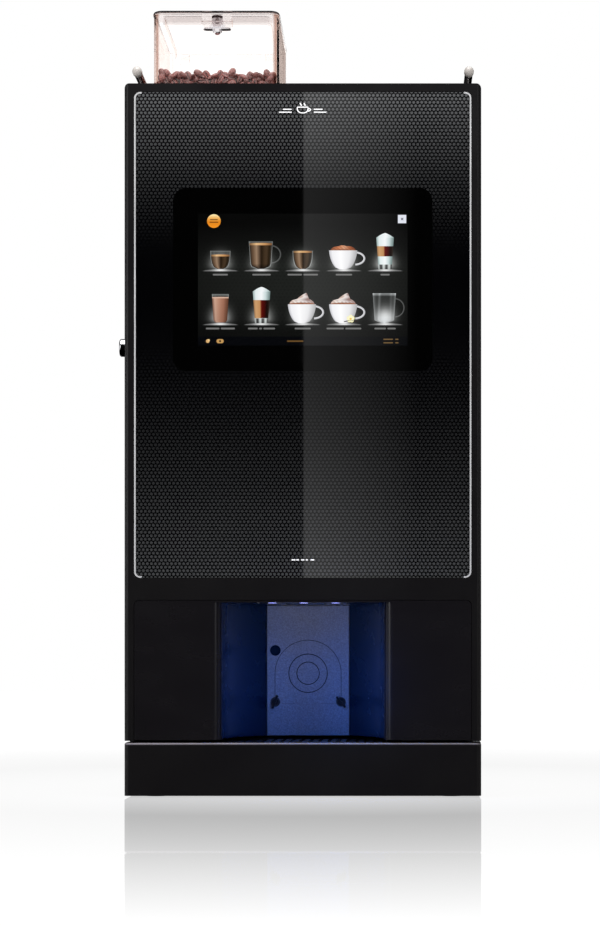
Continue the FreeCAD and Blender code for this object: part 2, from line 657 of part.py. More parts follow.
def led_lenses():
    """Three domed lenses that shine down into the cup bay, on one lamp carrier."""
    y0 = LED_Y - 8
    carrier = box(-LED_PITCH - 9, LED_PITCH + 9, y0, y0 + 16, FASCIA_TOP, FASCIA_TOP + 3)
    lenses = []
    for x in (-LED_PITCH, 0, LED_PITCH):
        lenses.append(rod((x, LED_Y, NICHE_TOP), (0, 0, 1), LED_R, FASCIA_TOP - NICHE_TOP))
    return joined([carrier] + lenses)


def lock_body():
    """Cam-lock barrel through the left side of the door, with its bezel outside and nut inside."""
    bezel = rod((-HALF_W - LOCK_OUT, LOCK_Y, LOCK_Z), (1, 0, 0), LOCK_BEZEL_R, LOCK_OUT)
    bezel = bezel.makeFillet(2.0, edges_near(bezel, lambda p: p.x < -HALF_W - LOCK_OUT + 0.1))
    barrel = rod((-HALF_W, LOCK_Y, LOCK_Z), (1, 0, 0), 7.0, 13.0)
    nut_ring = [(11 * math.cos(a), 11 * math.sin(a)) for a in [i * math.pi / 3 for i in range(6)]]
    nut = prism([(LOCK_Y + a, LOCK_Z + b) for a, b in nut_ring], "x", -DOOR_IN_X, -DOOR_IN_X + 4)
    bore = rod((-HALF_W - LOCK_OUT - 1, LOCK_Y, LOCK_Z), (1, 0, 0), PLUG_R + FIT, 30.0)
    return joined([bezel, barrel, nut]).cut(bore)


def lock_cam():
    """Key plug with the hooked cam that drops over the keeper pin in the cabinet."""
    x0 = -HALF_W - LOCK_OUT + 0.4
    plug = rod((x0, LOCK_Y, LOCK_Z), (1, 0, 0), PLUG_R, 23.4)
    keyway = box(x0 - 1, x0 + 6, LOCK_Y - 0.7, LOCK_Y + 0.7, LOCK_Z - 3.2, LOCK_Z + 3.2)
    cam_x0 = -170.8
    stub = rod((cam_x0 - 1.0, LOCK_Y, LOCK_Z), (1, 0, 0), PLUG_R, 3.0)
    cam = prism(
        [
            (LOCK_Y - 7, LOCK_Z - 7), (LOCK_Y + 18, LOCK_Z - 7), (LOCK_Y + 18, LOCK_Z + 0.5),
            (LOCK_Y + 23.5, LOCK_Z + 0.5), (LOCK_Y + 31.5, LOCK_Z + 0.5), (LOCK_Y + 31.5, LOCK_Z - 7),
            (LOCK_Y + 35, LOCK_Z - 7), (LOCK_Y + 35, LOCK_Z + 7), (LOCK_Y - 7, LOCK_Z + 7),
        ],
        "x", cam_x0, cam_x0 + 2.0,
    )
    return joined([plug, stub, cam]).cut(keyway)


# ---------------------------------------------------------------- bean hopper
def hopper():
    """Clear bean container with a funnel that passes through the top panel to the grinder."""
    body = slab("z", HOP_X0, HOP_X1, HOP_Y0, HOP_Y1, BODY_TOP, LID_Z, HOP_CORNER_R)
    low = (GRIND_X - THROAT_HALF, GRIND_X + THROAT_HALF, GRIND_Y - THROAT_HALF, GRIND_Y + THROAT_HALF)
    high = (HOP_X0 + 9, HOP_X1 - 9, HOP_Y0 + 9, HOP_Y1 - 9)
    funnel = tapered(low, high, THROAT_Z1, BODY_TOP)
    throat = box(low[0], low[1], low[2], low[3], THROAT_Z0, THROAT_Z1)
    ears = []
    for x in (HOP_X0 + 13, HOP_X1 - 23):
        ears.append(box(x, x + 10, HOP_Y1 - 1, LID_HINGE_Y, LID_HINGE_Z - 8, LID_HINGE_Z + 3))
        ears.append(rod((x, LID_HINGE_Y, LID_HINGE_Z), (1, 0, 0), 4.0, 10.0))
    w = HOP_WALL
    keeper = box(GRIND_X - 16, GRIND_X + 16, HOP_Y0 + 1, HOP_Y0 + 8, LID_Z - 9, LID_Z - 6.5)
    room = slab(
        "z", HOP_X0 + w, HOP_X1 - w, HOP_Y0 + w, HOP_Y1 - w, BODY_TOP + 8, LID_Z + 1, HOP_CORNER_R - w
    )
    hole = (GRIND_X - THROAT_HOLE, GRIND_X + THROAT_HOLE, GRIND_Y - THROAT_HOLE, GRIND_Y + THROAT_HOLE)
    floor_rect = (HOP_X0 + w + 4, HOP_X1 - w - 4, HOP_Y0 + w + 4, HOP_Y1 - w - 4)
    slope = tapered(hole, floor_rect, THROAT_Z1, BODY_TOP + 8)
    drop = box(hole[0], hole[1], hole[2], hole[3], THROAT_Z0 - 1, THROAT_Z1 + 1)
    slot = box(
        GRIND_X - 22.3, GRIND_X + 22.3, GRIND_Y - THROAT_HALF - 1, GRIND_Y + THROAT_HOLE + 2,
        SHUTTER_Z - LOOSE, SHUTTER_Z + 2 + LOOSE,
    )
    pin_bore = rod((HOP_X0, LID_HINGE_Y, LID_HINGE_Z), (1, 0, 0), 2.0 + FIT, HOP_X1 - HOP_X0)
    shape = without(joined([body, funnel, throat] + ears), [room, slope, drop, slot, pin_bore])
    return joined([shape, keeper])


def coffee_beans():
    """The fill of roasted beans, as one closed body inside the hopper's walls."""
    gap = HOP_WALL + 0.5
    heap = slab(
        "z", HOP_X0 + gap, HOP_X1 - gap, HOP_Y0 + gap, HOP_Y1 - gap,
        BODY_TOP + 8.5, BEANS_TOP, HOP_CORNER_R - gap,
    )
    hole = THROAT_HOLE - 0.6
    low = (GRIND_X - hole, GRIND_X + hole, GRIND_Y - hole, GRIND_Y + hole)
    edge = gap + 4.6
    high = (HOP_X0 + edge, HOP_X1 - edge, HOP_Y0 + edge, HOP_Y1 - edge)
    slope = tapered(low, high, THROAT_Z1 + 0.6, BODY_TOP + 8.5)
    return joined([heap, slope])


def hopper_lid():
    """Clear lid with a locating flange inside the hopper and a hinge barrel behind it."""
    plate = slab(
        "z", HOP_X0 - 1, HOP_X1 + 1, HOP_Y0 - 1, HOP_Y1, LID_Z + LOOSE, LID_Z + LID_T, HOP_CORNER_R + 1
    )
    plate = plate.makeFillet(LID_EDGE_R, edges_near(plate, lambda p: p.z > LID_Z + LID_T - 0.1))
    inset = 9.0
    outer = slab(
        "z", HOP_X0 + inset, HOP_X1 - inset, HOP_Y0 + inset, HOP_Y1 - inset, LID_Z - 9, LID_Z + 1, 5.0
    )
    inner = slab(
        "z", HOP_X0 + inset + 2, HOP_X1 - inset - 2, HOP_Y0 + inset + 2, HOP_Y1 - inset - 2,
        LID_Z - 10, LID_Z + LOOSE, 4.0,
    )
    x0 = HOP_X0 + 24
    x1 = HOP_X1 - 24
    web = box(x0, x1, HOP_Y1 - 4, LID_HINGE_Y, LID_Z + LOOSE, LID_Z + 2)
    barrel = rod((x0, LID_HINGE_Y, LID_HINGE_Z), (1, 0, 0), 4.0, x1 - x0)
    pin = rod((HOP_X0 + 14, LID_HINGE_Y, LID_HINGE_Z), (1, 0, 0), 2.0, HOP_X1 - HOP_X0 - 28)
    lock_seat = box(GRIND_X - 16, GRIND_X + 16, HOP_Y0 + 11, LID_LOCK_Y + 12, LID_Z - 6, LID_Z + 1)
    lock_hole = rod((GRIND_X, LID_LOCK_Y, LID_Z - 8), (0, 0, 1), 6.0 + FIT, 16.0)
    return without(joined([plate, outer.cut(inner), web, barrel, pin, lock_seat]), [lock_hole])


def hopper_lid_lock():
    """Cam lock through the lid: key head on top, thin cam bar and a domed nut below."""
    y = LID_LOCK_Y
    head = rod((GRIND_X, y, LID_Z + LID_T - 1.0), (0, 0, 1), 5.9, 1.0)
    barrel = rod((GRIND_X, y, LID_Z - 8), (0, 0, 1), 6.0, 11.0)
    keyway = box(GRIND_X - 3, GRIND_X + 3, y - 0.6, y + 0.6, LID_Z + LID_T - 3, LID_Z + LID_T + 1)
    hexagon = [(8.5 * math.cos(i * math.pi / 3), 8.5 * math.sin(i * math.pi / 3)) for i in range(6)]
    nut = prism([(GRIND_X + a, y + b) for a, b in hexagon], "z", LID_Z - 10, LID_Z - 6.3)
    bar = slab("z", GRIND_X - 15, GRIND_X + 15, y - 5, y + 5, LID_Z - 11.5, LID_Z - 10, 4.9)
    neck = rod((GRIND_X, y, LID_Z - 14), (0, 0, 1), 5.0, 3.0)
    dome = ball((GRIND_X, y, LID_Z - 13.0), 4.2)
    return joined([head, barrel, nut, bar, neck, dome]).cut(keyway)


def bean_shutter():
    """Flat slide that shuts the hopper's throat when it is pushed in."""
    y1 = GRIND_Y - THROAT_HOLE - 0.5
    plate = box(GRIND_X - 22, GRIND_X + 22, y1 - 48, y1, SHUTTER_Z, SHUTTER_Z + 2)
    grip = box(GRIND_X - 22, GRIND_X + 22, y1 - 50, y1 - 48, SHUTTER_Z - 5, SHUTTER_Z + 7)
    return joined([plate, grip])


# ---------------------------------------------------------------- grinder
def grinder_housing():
    body = rod((GRIND_X, GRIND_Y, 600), (0, 0, 1), 45.0, 80.0)
    neck = box(GRIND_X - 28, GRIND_X + 28, GRIND_Y - 28, GRIND_Y + 28, 680, THROAT_Z0)
    chute = box(GRIND_X - 14, GRIND_X + 14, GRIND_Y + 40, GRIND_Y + 64, 540, 625)
    hanger = box(GRIND_X - 30, GRIND_X + 30, GRIND_Y + 38, PLATE_Y, 640, 660)
    shape = joined([body, neck, chute, hanger])
    cavity = rod((GRIND_X, GRIND_Y, 606), (0, 0, 1), 34.0, 60.0)
    inlet = rod((GRIND_X, GRIND_Y, 660), (0, 0, 1), 18.0, 40.0)
    shaft = rod((GRIND_X, GRIND_Y, 590), (0, 0, 1), 6.5, 20.0)
    chute_hole = box(GRIND_X - 11, GRIND_X + 11, GRIND_Y + 43, GRIND_Y + 61, 539, 622)
    passage = box(GRIND_X - 11, GRIND_X + 11, GRIND_Y + 25, GRIND_Y + 60, 607, 622)
    return without(shape, [cavity, inlet, shaft, chute_hole, passage])


def grinder_motor():
    body = rod((GRIND_X, GRIND_Y, 545), (0, 0, 1), 36.0, 52.0)
    flange = rod((GRIND_X, GRIND_Y, 597), (0, 0, 1), 42.0, 3.0)
    tail = rod((GRIND_X, GRIND_Y, 538), (0, 0, 1), 14.0, 7.0)
    shaft_room = rod((GRIND_X, GRIND_Y, 585), (0, 0, 1), 6.5, 16.0)
    chute_room = box(GRIND_X - 15, GRIND_X + 15, GRIND_Y + 39, GRIND_Y + 66, 530, 601)
    return without(joined([body, flange, tail]), [shaft_room, chute_room])


def grinder_burr():
    """Conical cutting burr on its drive shaft."""
    burr = cone((GRIND_X, GRIND_Y, 610), (0, 0, 1), 27.0, 12.0, 34.0)
    shaft = rod((GRIND_X, GRIND_Y, 588), (0, 0, 1), 5.0, 24.0)
    nut = rod((GRIND_X, GRIND_Y, 643), (0, 0, 1), 7.0, 8.0)
    flutes = []
    for i in range(12):
        a = i * math.pi / 6
        x = GRIND_X + 25.5 * math.cos(a)
        y = GRIND_Y + 25.5 * math.sin(a)
        lean = (-15.0 * math.cos(a) - 5 * math.sin(a), -15.0 * math.sin(a) + 5 * math.cos(a), 34.0)
        flutes.append(rod((x, y, 609), lean, 2.2, 40.0))
    return without(joined([burr, shaft, nut]), flutes)


# ---------------------------------------------------------------- brewing group
def involute_gear(teeth, module, backlash, width):
    """A spur gear about +Y through the origin, with involute flanks of 20 degree pressure angle."""
    pitch_r = teeth * module / 2
    pressure = math.radians(20)
    base_r = pitch_r * math.cos(pressure)
    tip_r = pitch_r + 0.8 * module
    root_r = pitch_r - 1.25 * module
    inv_pitch = math.tan(pressure) - pressure
    half_pitch = math.pi / (2 * teeth) - backlash / (2 * pitch_r)

    def flank_angle(r):
        if r <= base_r:
            return half_pitch + inv_pitch
        a = math.acos(base_r / r)
        return half_pitch + inv_pitch - (math.tan(a) - a)

    radii = [root_r] + spread(max(base_r, root_r) + 0.01, tip_r, 5)
    points = []
    for i in range(teeth):
        centre = 2 * math.pi * i / teeth
        rising = [(r, centre - flank_angle(r)) for r in radii]
        falling = [(r, centre + flank_angle(r)) for r in reversed(radii)]
        points += [(r * math.cos(a), r * math.sin(a)) for r, a in rising + falling]
    return prism(points, "y", -width / 2, width / 2)


def brewer_frame():
    """Open frame of side plates, foot, shelf and back, cast in one with the brewing cylinder."""
    x0 = BREW_X - 44
    x1 = BREW_X + 60
    y0 = BREW_Y - 40
    y1 = BREW_Y + 40
    left = box(x0, x0 + 4, y0, y1, 290, 500)
    right = box(x1 - 4, x1, y0, y1, 290, 500)
    foot = box(x0, x1, y0, y1, 290, 296)
    shelf = box(x0, x1, y0, y1, 392, 398)
    back = box(x0, x1, y1, y1 + 4, 290, 500)
    arms = [box(x, x + 12, y1 + 4, PLATE_Y, z, z + 12) for x in (x0, x1 - 12) for z in (300, 480)]
    rod_hole = box(BREW_X - 7.5, BREW_X + 7.5, BREW_Y - 6.5, BREW_Y + 6.5, 391, 399)
    gear_room = box(BREW_X + 5, x1 - 4, y1 - 1, y1 + 5, GEAR_Z - 22, GEAR_Z + 22)
    return without(joined([left, right, foot, shelf, back, brew_cylinder()] + arms), [rod_hole, gear_room])


def brew_cylinder():
    """Brewing cylinder with a flared mouth that catches the ground coffee."""
    tube = rod((BREW_X, BREW_Y, 398), (0, 0, 1), BREW_BORE + 5, 72.0)
    mouth = cone((BREW_X, BREW_Y, 470), (0, 0, 1), BREW_BORE + 5, 38.0, 22.0)
    port = rod((BREW_X, BREW_Y, 440), (0, -1, 0), 6.0, BREW_BORE + 14)
    bore = rod((BREW_X, BREW_Y, 402), (0, 0, 1), BREW_BORE, 70.0)
    flare = cone((BREW_X, BREW_Y, 470), (0, 0, 1), BREW_BORE, 35.0, 23.0)
    port_bore = rod((BREW_X, BREW_Y - 20, 440), (0, -1, 0), 3.5, 40.0)
    rod_hole = box(BREW_X - 7.5, BREW_X + 7.5, BREW_Y - 6.5, BREW_Y + 6.5, 397, 403)
    return without(joined([tube, mouth, port]), [bore, flare, port_bore, rod_hole])


def rack_face():
    return BREW_X + 6.0


def brewer_piston():
    """Brewing piston on a square rod whose +X face is cut as a rack."""
    head = rod((BREW_X, BREW_Y, 403), (0, 0, 1), BREW_BORE - LOOSE, 12.0)
    seal_groove = rod((BREW_X, BREW_Y, 407), (0, 0, 1), BREW_BORE + 1, 3.0)
    seal_groove = seal_groove.cut(rod((BREW_X, BREW_Y, 407), (0, 0, 1), BREW_BORE - 2.5, 3.0))
    pitch_x = rack_face() - 0.8 * RACK_M
    stem = box(BREW_X - 6, pitch_x - 1.25 * RACK_M, BREW_Y - GEAR_W / 2, BREW_Y + GEAR_W / 2, 300, 404)
    upper = box(BREW_X - 6, rack_face(), BREW_Y - GEAR_W / 2, BREW_Y + GEAR_W / 2, 372, 404)
    step = math.pi * RACK_M
    half = step / 4 - 0.15
    slope = math.tan(math.radians(20))
    tip = 0.8 * RACK_M
    root = 1.25 * RACK_M + 0.2
    teeth = []
    for i in range(-10, 5):
        z = GEAR_Z + (i + 0.5) * step
        root_x = pitch_x - root
        ring = [
            (root_x, z - half - root * slope), (root_x, z + half + root * slope),
            (pitch_x + tip, z + half - tip * slope), (pitch_x + tip, z - half + tip * slope),
        ]
        tooth = prism(ring, "y", BREW_Y - GEAR_W / 2, BREW_Y + GEAR_W / 2)
        teeth.append(tooth.common(box(root_x, root_x + 9, -200, 200, 300, 372)))
    return joined([head, stem, upper] + teeth).cut(seal_groove)


def gear_centre_x():
    return rack_face() - 0.8 * RACK_M + GEAR_TEETH * RACK_M / 2 + 0.15


def brewer_gear():
    """Drive gear of the brewing piston on the gear motor's shaft; a tooth faces the rack's gap."""
    gear = involute_gear(GEAR_TEETH, RACK_M, 0.3, GEAR_W)
    gear.rotate(V(0, 0, 0), V(0, 1, 0), 180.0)
    gear.translate(V(gear_centre_x(), BREW_Y, GEAR_Z))
    shaft = rod((gear_centre_x(), BREW_Y - 10, GEAR_Z), (0, 1, 0), 4.0, 65.0)
    hub = rod((gear_centre_x(), BREW_Y + GEAR_W / 2, GEAR_Z), (0, 1, 0), 8.0, 8.0)
    return joined([gear, shaft, hub])


def brewer_motor():
    x = gear_centre_x()
    y0 = BREW_Y + 46
    gearbox = slab("y", x - 21, x + 21, GEAR_Z - 21, GEAR_Z + 21, y0, y0 + 26, 5.0)
    can = rod((x, y0 + 26, GEAR_Z), (0, 1, 0), 17.0, 48.0)
    bracket = box(x - 26, x + 26, y0 + 74, PLATE_Y, GEAR_Z - 26, GEAR_Z + 26)
    bore = rod((x, y0 - 1, GEAR_Z), (0, 1, 0), 4.0 + FIT, 12.0)
    return joined([gearbox, can, bracket]).cut(bore)


# ---------------------------------------------------------------- powder side
def canisters():
    result = []
    for x in CAN_X:
        outer = slab("z", x - CAN_HALF, x + CAN_HALF, CAN_Y0, CAN_Y1, CAN_Z0, CAN_Z1, 4.0)
        spout = box(x - 17, x + 17, CAN_Y0 - SPOUT_DEPTH, CAN_Y0 + 1, 464, 504)
        w = CAN_WALL
        room = slab("z", x - CAN_HALF + w, x + CAN_HALF - w, CAN_Y0 + w, CAN_Y1 - w, 520, CAN_Z1 + 1, 3.0)
        ramp = tapered(
            (x - 13.5, x + 13.5, CAN_Y0 + w, CAN_Y1 - w),
            (x - CAN_HALF + w, x + CAN_HALF - w, CAN_Y0 + w, CAN_Y1 - w), AUGER_Z, 520,
        )
        trough = rod((x, CAN_Y0 - 1, AUGER_Z), (0, 1, 0), 13.5, CAN_Y1 - CAN_Y0 + 1 - w)
        spout_room = box(x - 15, x + 15, CAN_Y0 - SPOUT_DEPTH + 2, CAN_Y0, 463, 502)
        shaft_hole = rod((x, CAN_Y1 - 5, AUGER_Z), (0, 1, 0), 3.0 + FIT, 10.0)
        can = joined([outer, spout])
        result.append(without(can, [room, ramp, trough, spout_room, shaft_hole]))
    return Part.makeCompound(result)


def canister_lids():
    """Push-on lids with a finger tab in front."""
    result = []
    for x in CAN_X:
        x0 = x - CAN_HALF
        x1 = x + CAN_HALF
        plate = slab("z", x0 - 1, x1 + 1, CAN_Y0 - 1, CAN_Y1 + 1, CAN_Z1, CAN_Z1 + 3, 4.0)
        plug = slab("z", x0 + 2.2, x1 - 2.2, CAN_Y0 + 2.2, CAN_Y1 - 2.2, CAN_Z1 - 5, CAN_Z1, 3.0)
        tab = box(x - 12, x + 12, CAN_Y0 - 8, CAN_Y0, CAN_Z1, CAN_Z1 + 3)
        result.append(joined([plate, plug, tab]))
    return Part.makeCompound(result)


def auger(x):
    """Screw conveyor: a helical flight on a shaft that runs back to its gear motor."""
    pitch = 24.0
    y0 = CAN_Y0 - 8
    length = CAN_Y1 - 4 - y0
    helix = Part.makeHelix(pitch, length - 2, 7.0)
    section = [V(2.6, 0, -0.9), V(AUGER_R, 0, -0.7), V(AUGER_R, 0, 0.7), V(2.6, 0, 0.9)]
    profile = Part.makePolygon(section + section[:1])
    flight = Part.Wire(helix.Edges).makePipeShell([profile], True, True)
    flight.translate(V(0, 0, 1))
    flight.rotate(V(0, 0, 0), V(1, 0, 0), -90.0)
    flight.translate(V(x, y0, AUGER_Z))
    shaft = rod((x, y0 - 2, AUGER_Z), (0, 1, 0), 3.0, PLATE_Y + PLATE_T + 0.5 - y0)
    return joined([shaft, flight])


def mixer_bowls():
    """Mixing funnels that catch the powder and hot water, each above its whipper chamber."""
    result = []
    y1 = -136.0
    for x in CAN_X:
        rim = rod((x, BOWL_Y, BOWL_TOP - 8), (0, 0, 1), BOWL_R, 8.0)
        funnel = cone((x, BOWL_Y, 400), (0, 0, 1), 15.0, BOWL_R, BOWL_TOP - 8 - 400)
        chamber = rod((x, BOWL_Y - 22, WHIP_Z), (0, 1, 0), WHIP_R, y1 - BOWL_Y + 22)
        spout = rod((x, BOWL_Y - 10, WHIP_Z - 14), (0, 0, -1), 6.0, 18.0)
        shape = joined([rim, funnel, chamber, spout])
        rim_room = rod((x, BOWL_Y, BOWL_TOP - 8), (0, 0, 1), BOWL_R - 1.8, 9.0)
        funnel_room = cone((x, BOWL_Y, 399), (0, 0, 1), 13.0, BOWL_R - 1.8, BOWL_TOP - 8 - 399)
        chamber_room = rod((x, BOWL_Y - 20, WHIP_Z), (0, 1, 0), WHIP_R - 2, y1 - BOWL_Y + 18)
        spout_room = rod((x, BOWL_Y - 10, WHIP_Z - 10), (0, 0, -1), 4.0, 30.0)
        shaft_hole = rod((x, y1 - 4, WHIP_Z), (0, 1, 0), 3.0 + FIT, 6.0)
        neck = rod((x, BOWL_Y, WHIP_Z), (0, 0, 1), 12.0, 18.0)
        cuts = [rim_room, funnel_room, chamber_room, spout_room, shaft_hole, neck]
        result.append(without(shape, cuts))
    return Part.makeCompound(result)


def whipper(x):
    """Impeller disc with four vanes on the mixer motor's shaft."""
    y0 = BOWL_Y - 14
    disc = rod((x, y0 + 8, WHIP_Z), (0, 1, 0), 14.0, 2.0)
    vanes = []
    for i in range(4):
        vane = box(x + 4, x + 13, y0, y0 + 9, WHIP_Z - 1, WHIP_Z + 1)
        vane.rotate(V(x, y0, WHIP_Z), V(0, 1, 0), 90.0 * i)
        vanes.append(vane)
    hub = rod((x, y0, WHIP_Z), (0, 1, 0), 5.0, 10.0)
    shaft = rod((x, y0 + 9, WHIP_Z), (0, 1, 0), 3.0, -130 - y0 - 9)
    return joined([disc, hub, shaft] + vanes)


def powder_motors():
    """The three auger gear motors behind the mounting plate and the three mixer motors in front."""
    result = []
    y0 = PLATE_Y + PLATE_T
    for x in CAN_X:
        gearbox = slab("y", x - 22, x + 22, AUGER_Z - 30, AUGER_Z + 18, y0, y0 + 24, 5.0)
        can = rod((x, y0 + 24, AUGER_Z), (0, 1, 0), 15.0, 36.0)
        bore = rod((x, y0 - 1, AUGER_Z), (0, 1, 0), 3.0 + FIT, 6.0)
        result.append(joined([gearbox, can]).cut(bore))
        mixer_can = rod((x, APRON_Y, WHIP_Z), (0, 1, 0), 17.0, 46.0)
        cap = rod((x, APRON_Y + 46, WHIP_Z), (0, 1, 0), 11.0, 5.0)
        mixer_bore = rod((x, APRON_Y - 1, WHIP_Z), (0, 1, 0), 3.0 + FIT, 8.0)
        result.append(joined([mixer_can, cap]).cut(mixer_bore))
    return Part.makeCompound(result)


def nozzle_block():
    """Drink outlet above the cup bay, on an arm from the mounting plate."""
    block = slab("z", -30, 30, -192, -142, 215, 240, 5.0)
    spouts = [rod((x, -171, 207), (0, 0, 1), 4.5, 9.0) for x in (-12, 0, 12)]
    arm = box(-7, 7, -150, PLATE_Y, 222, 234)
    hooks = [rod((x, -171, 240), (0, 0, 1), 4.5, 8.0) for x in (-20, 0, 20)]
    bores = [rod((x, -171, 206), (0, 0, 1), 2.6, 12.0) for x in (-12, 0, 12)]
    return without(joined([block, arm] + spouts + hooks), bores)


def hoses():
    """Silicone tubes from the three mixers and the brewer to the drink outlet, and to the boiler."""
    drop_z = WHIP_Z - 32
    lines = [
        [(CAN_X[0], BOWL_Y - 10, drop_z), (CAN_X[0], BOWL_Y - 10, 315), (0, -171, 285), (0, -171, 248)],
        [(CAN_X[1], BOWL_Y - 10, drop_z), (CAN_X[1], BOWL_Y - 10, 305), (20, -171, 290), (20, -171, 248)],
        [
            (CAN_X[2], BOWL_Y - 10, drop_z), (CAN_X[2], BOWL_Y - 10, 295), (70, -185, 270),
            (30, -150, 300), (-20, -171, 275), (-20, -171, 248),
        ],
    ]
    return Part.makeCompound([hose(line, 4.5) for line in lines])


def grounds_bin():
    """Lift-out bin for spent grounds with a finger lip along its front."""
    outer = slab("z", BIN_X0, BIN_X1, BIN_Y0, BIN_Y1, BASE_TOP + SLIDE_GAP, BIN_TOP, 6.0)
    inner = slab("z", BIN_X0 + 2, BIN_X1 - 2, BIN_Y0 + 2, BIN_Y1 - 2, BASE_TOP + 3, BIN_TOP + 1, 4.0)
    lip = box(BIN_X0 + 30, BIN_X1 - 30, BIN_Y0 - 3, BIN_Y0 + 1, BIN_TOP - 14, BIN_TOP - 11)
    return joined([outer, lip]).cut(inner)


# ---------------------------------------------------------------- water and power side
def boiler():
    """Pressure boiler with domed ends on two saddles from the mounting plate."""
    x = -90.0
    y = 130.0
    tank = rod((x, y, 270), (0, 0, 1), 48.0, 150.0)
    tank = tank.makeFillet(14.0, edges_near(tank, lambda p: abs(p.z - 345) > 70))
    saddles = [box(x - 20, x + 20, PLATE_Y + PLATE_T, y - 40, z, z + 16) for z in (290, 384)]
    element = rod((x, y, 258), (0, 0, 1), 16.0, 14.0)
    outlet = rod((x + 22, y, 415), (0, 0, 1), 6.0, 16.0)
    inlet = rod((x - 22, y, 415), (0, 0, 1), 6.0, 12.0)
    return joined([tank, element, outlet, inlet] + saddles)


def water_pump():
    """Vibration pump on a rubber-footed cradle."""
    z = 98.0
    coil = rod((20, 130, z), (1, 0, 0), 24.0, 52.0)
    nose = rod((72, 130, z), (1, 0, 0), 12.0, 30.0)
    tail = rod((6, 130, z), (1, 0, 0), 9.0, 14.0)
    cradle = box(24, 68, 110, 150, BASE_TOP, z - 14)
    return joined([coil, nose, tail, cradle])


def air_break_tank():
    """Open water tank that separates the mains supply from the pump."""
    outer = slab("z", -80, 20, 165, 225, BASE_TOP, 220, 6.0)
    inner = slab("z", -77, 17, 168, 222, BASE_TOP + 3, 221, 4.0)
    return outer.cut(inner)


def power_supply():
    body = box(96, 176, -28, PLATE_Y, 90, 230)
    vents = [slab("x", -20, 50, z - 2, z + 2, 95, 97, 1.9) for z in spread(110, 210, 9)]
    terminal = box(104, 168, -38, -28, 96, 112)
    return without(joined([body, terminal]), vents)


def control_board():
    y1 = PLATE_Y
    board = box(-10, 172, y1 - 9.6, y1 - 8, 245, 335)
    posts = [rod((x, y1 - 8, z), (0, 1, 0), 3.5, 8.0) for x in (-4, 166) for z in (251, 329)]
    relays = [box(x, x + 16, y1 - 26, y1 - 9.6, 254, 282) for x in spread(0, 80, 5)]
    chip = box(20, 52, y1 - 12, y1 - 9.6, 295, 327)
    heat_sink = box(110, 160, y1 - 30, y1 - 9.6, 290, 325)
    fins = [box(x, x + 3, y1 - 31, y1 - 14, 289, 326) for x in spread(115, 150, 6)]
    return joined([board, chip, heat_sink.cut(Part.makeCompound(fins))] + posts + relays)


def fan_housing():
    y1 = CAB_REAR - SHEET
    half = FAN_SIZE / 2
    frame = slab("y", FAN_X - half, FAN_X + half, FAN_Z - half, FAN_Z + half, y1 - FAN_DEPTH, y1, 6.0)
    duct = rod((FAN_X, y1 - FAN_DEPTH - 1, FAN_Z), (0, 1, 0), 43.0, FAN_DEPTH + 2)
    ring = frame.cut(duct)
    spider = []
    for i in range(3):
        arm = box(FAN_X, FAN_X + 44, y1 - FAN_DEPTH, y1 - FAN_DEPTH + 3, FAN_Z - 2, FAN_Z + 2)
        arm.rotate(V(FAN_X, 0, FAN_Z), V(0, 1, 0), 120.0 * i + 30)
        spider.append(arm)
    motor = rod((FAN_X, y1 - FAN_DEPTH, FAN_Z), (0, 1, 0), 17.0, 4.0)
    bore = rod((FAN_X, y1 - FAN_DEPTH - 1, FAN_Z), (0, 1, 0), 2.0 + FIT, 8.0)
    return joined([ring, motor] + spider).cut(bore)


def exhaust_fan():
    y0 = CAB_REAR - SHEET - FAN_DEPTH + 5
    hub = rod((FAN_X, y0, FAN_Z), (0, 1, 0), 16.0, 15.0)
    pin = rod((FAN_X, y0 - 4, FAN_Z), (0, 1, 0), 2.0, 5.0)
    blades = []
    for i in range(7):
        blade = box(FAN_X + 14, FAN_X + 40, y0 + 6, y0 + 8, FAN_Z - 11, FAN_Z + 11)
        blade.rotate(V(FAN_X, y0 + 7, FAN_Z), V(1, 0, 0), 32.0)
        blade.rotate(V(FAN_X, y0 + 7, FAN_Z), V(0, 1, 0), i * 360.0 / 7)
        blades.append(blade)
    return joined([hub, pin] + blades)


def mains_inlet():
    """Appliance inlet and switch frame in one plate on the rear panel."""
    y = CAB_REAR
    plate = slab("y", INLET_X - 33, INLET_X + 33, INLET_Z - 18, INLET_Z + 18, y, y + 2, 3.0)
    well = box(INLET_X - 27, INLET_X + 27, y - 22, y + 0.5, INLET_Z - 13, INLET_Z + 13)
    socket = slab("y", INLET_X - 24, INLET_X + 1, INLET_Z - 9, INLET_Z + 9, y - 18, y + 3, 3.0)
    rocker = box(INLET_X + 6, INLET_X + 24, y - 14, y + 3, INLET_Z - 11, INLET_Z + 11)
    pins = [box(x - 1, x + 1, y - 20, y - 6, INLET_Z - 3 + dz, INLET_Z + 1 + dz)
            for x, dz in ((INLET_X - 18.5, -1), (INLET_X - 11.5, 4), (INLET_X - 4.5, -1))]
    shape = without(joined([plate, well]), [socket, rocker])
    bore = rod((INLET_X + 4, y - 5, INLET_Z), (1, 0, 0), 1.5 + FIT, 22.0)
    return joined([shape.cut(bore)] + pins)


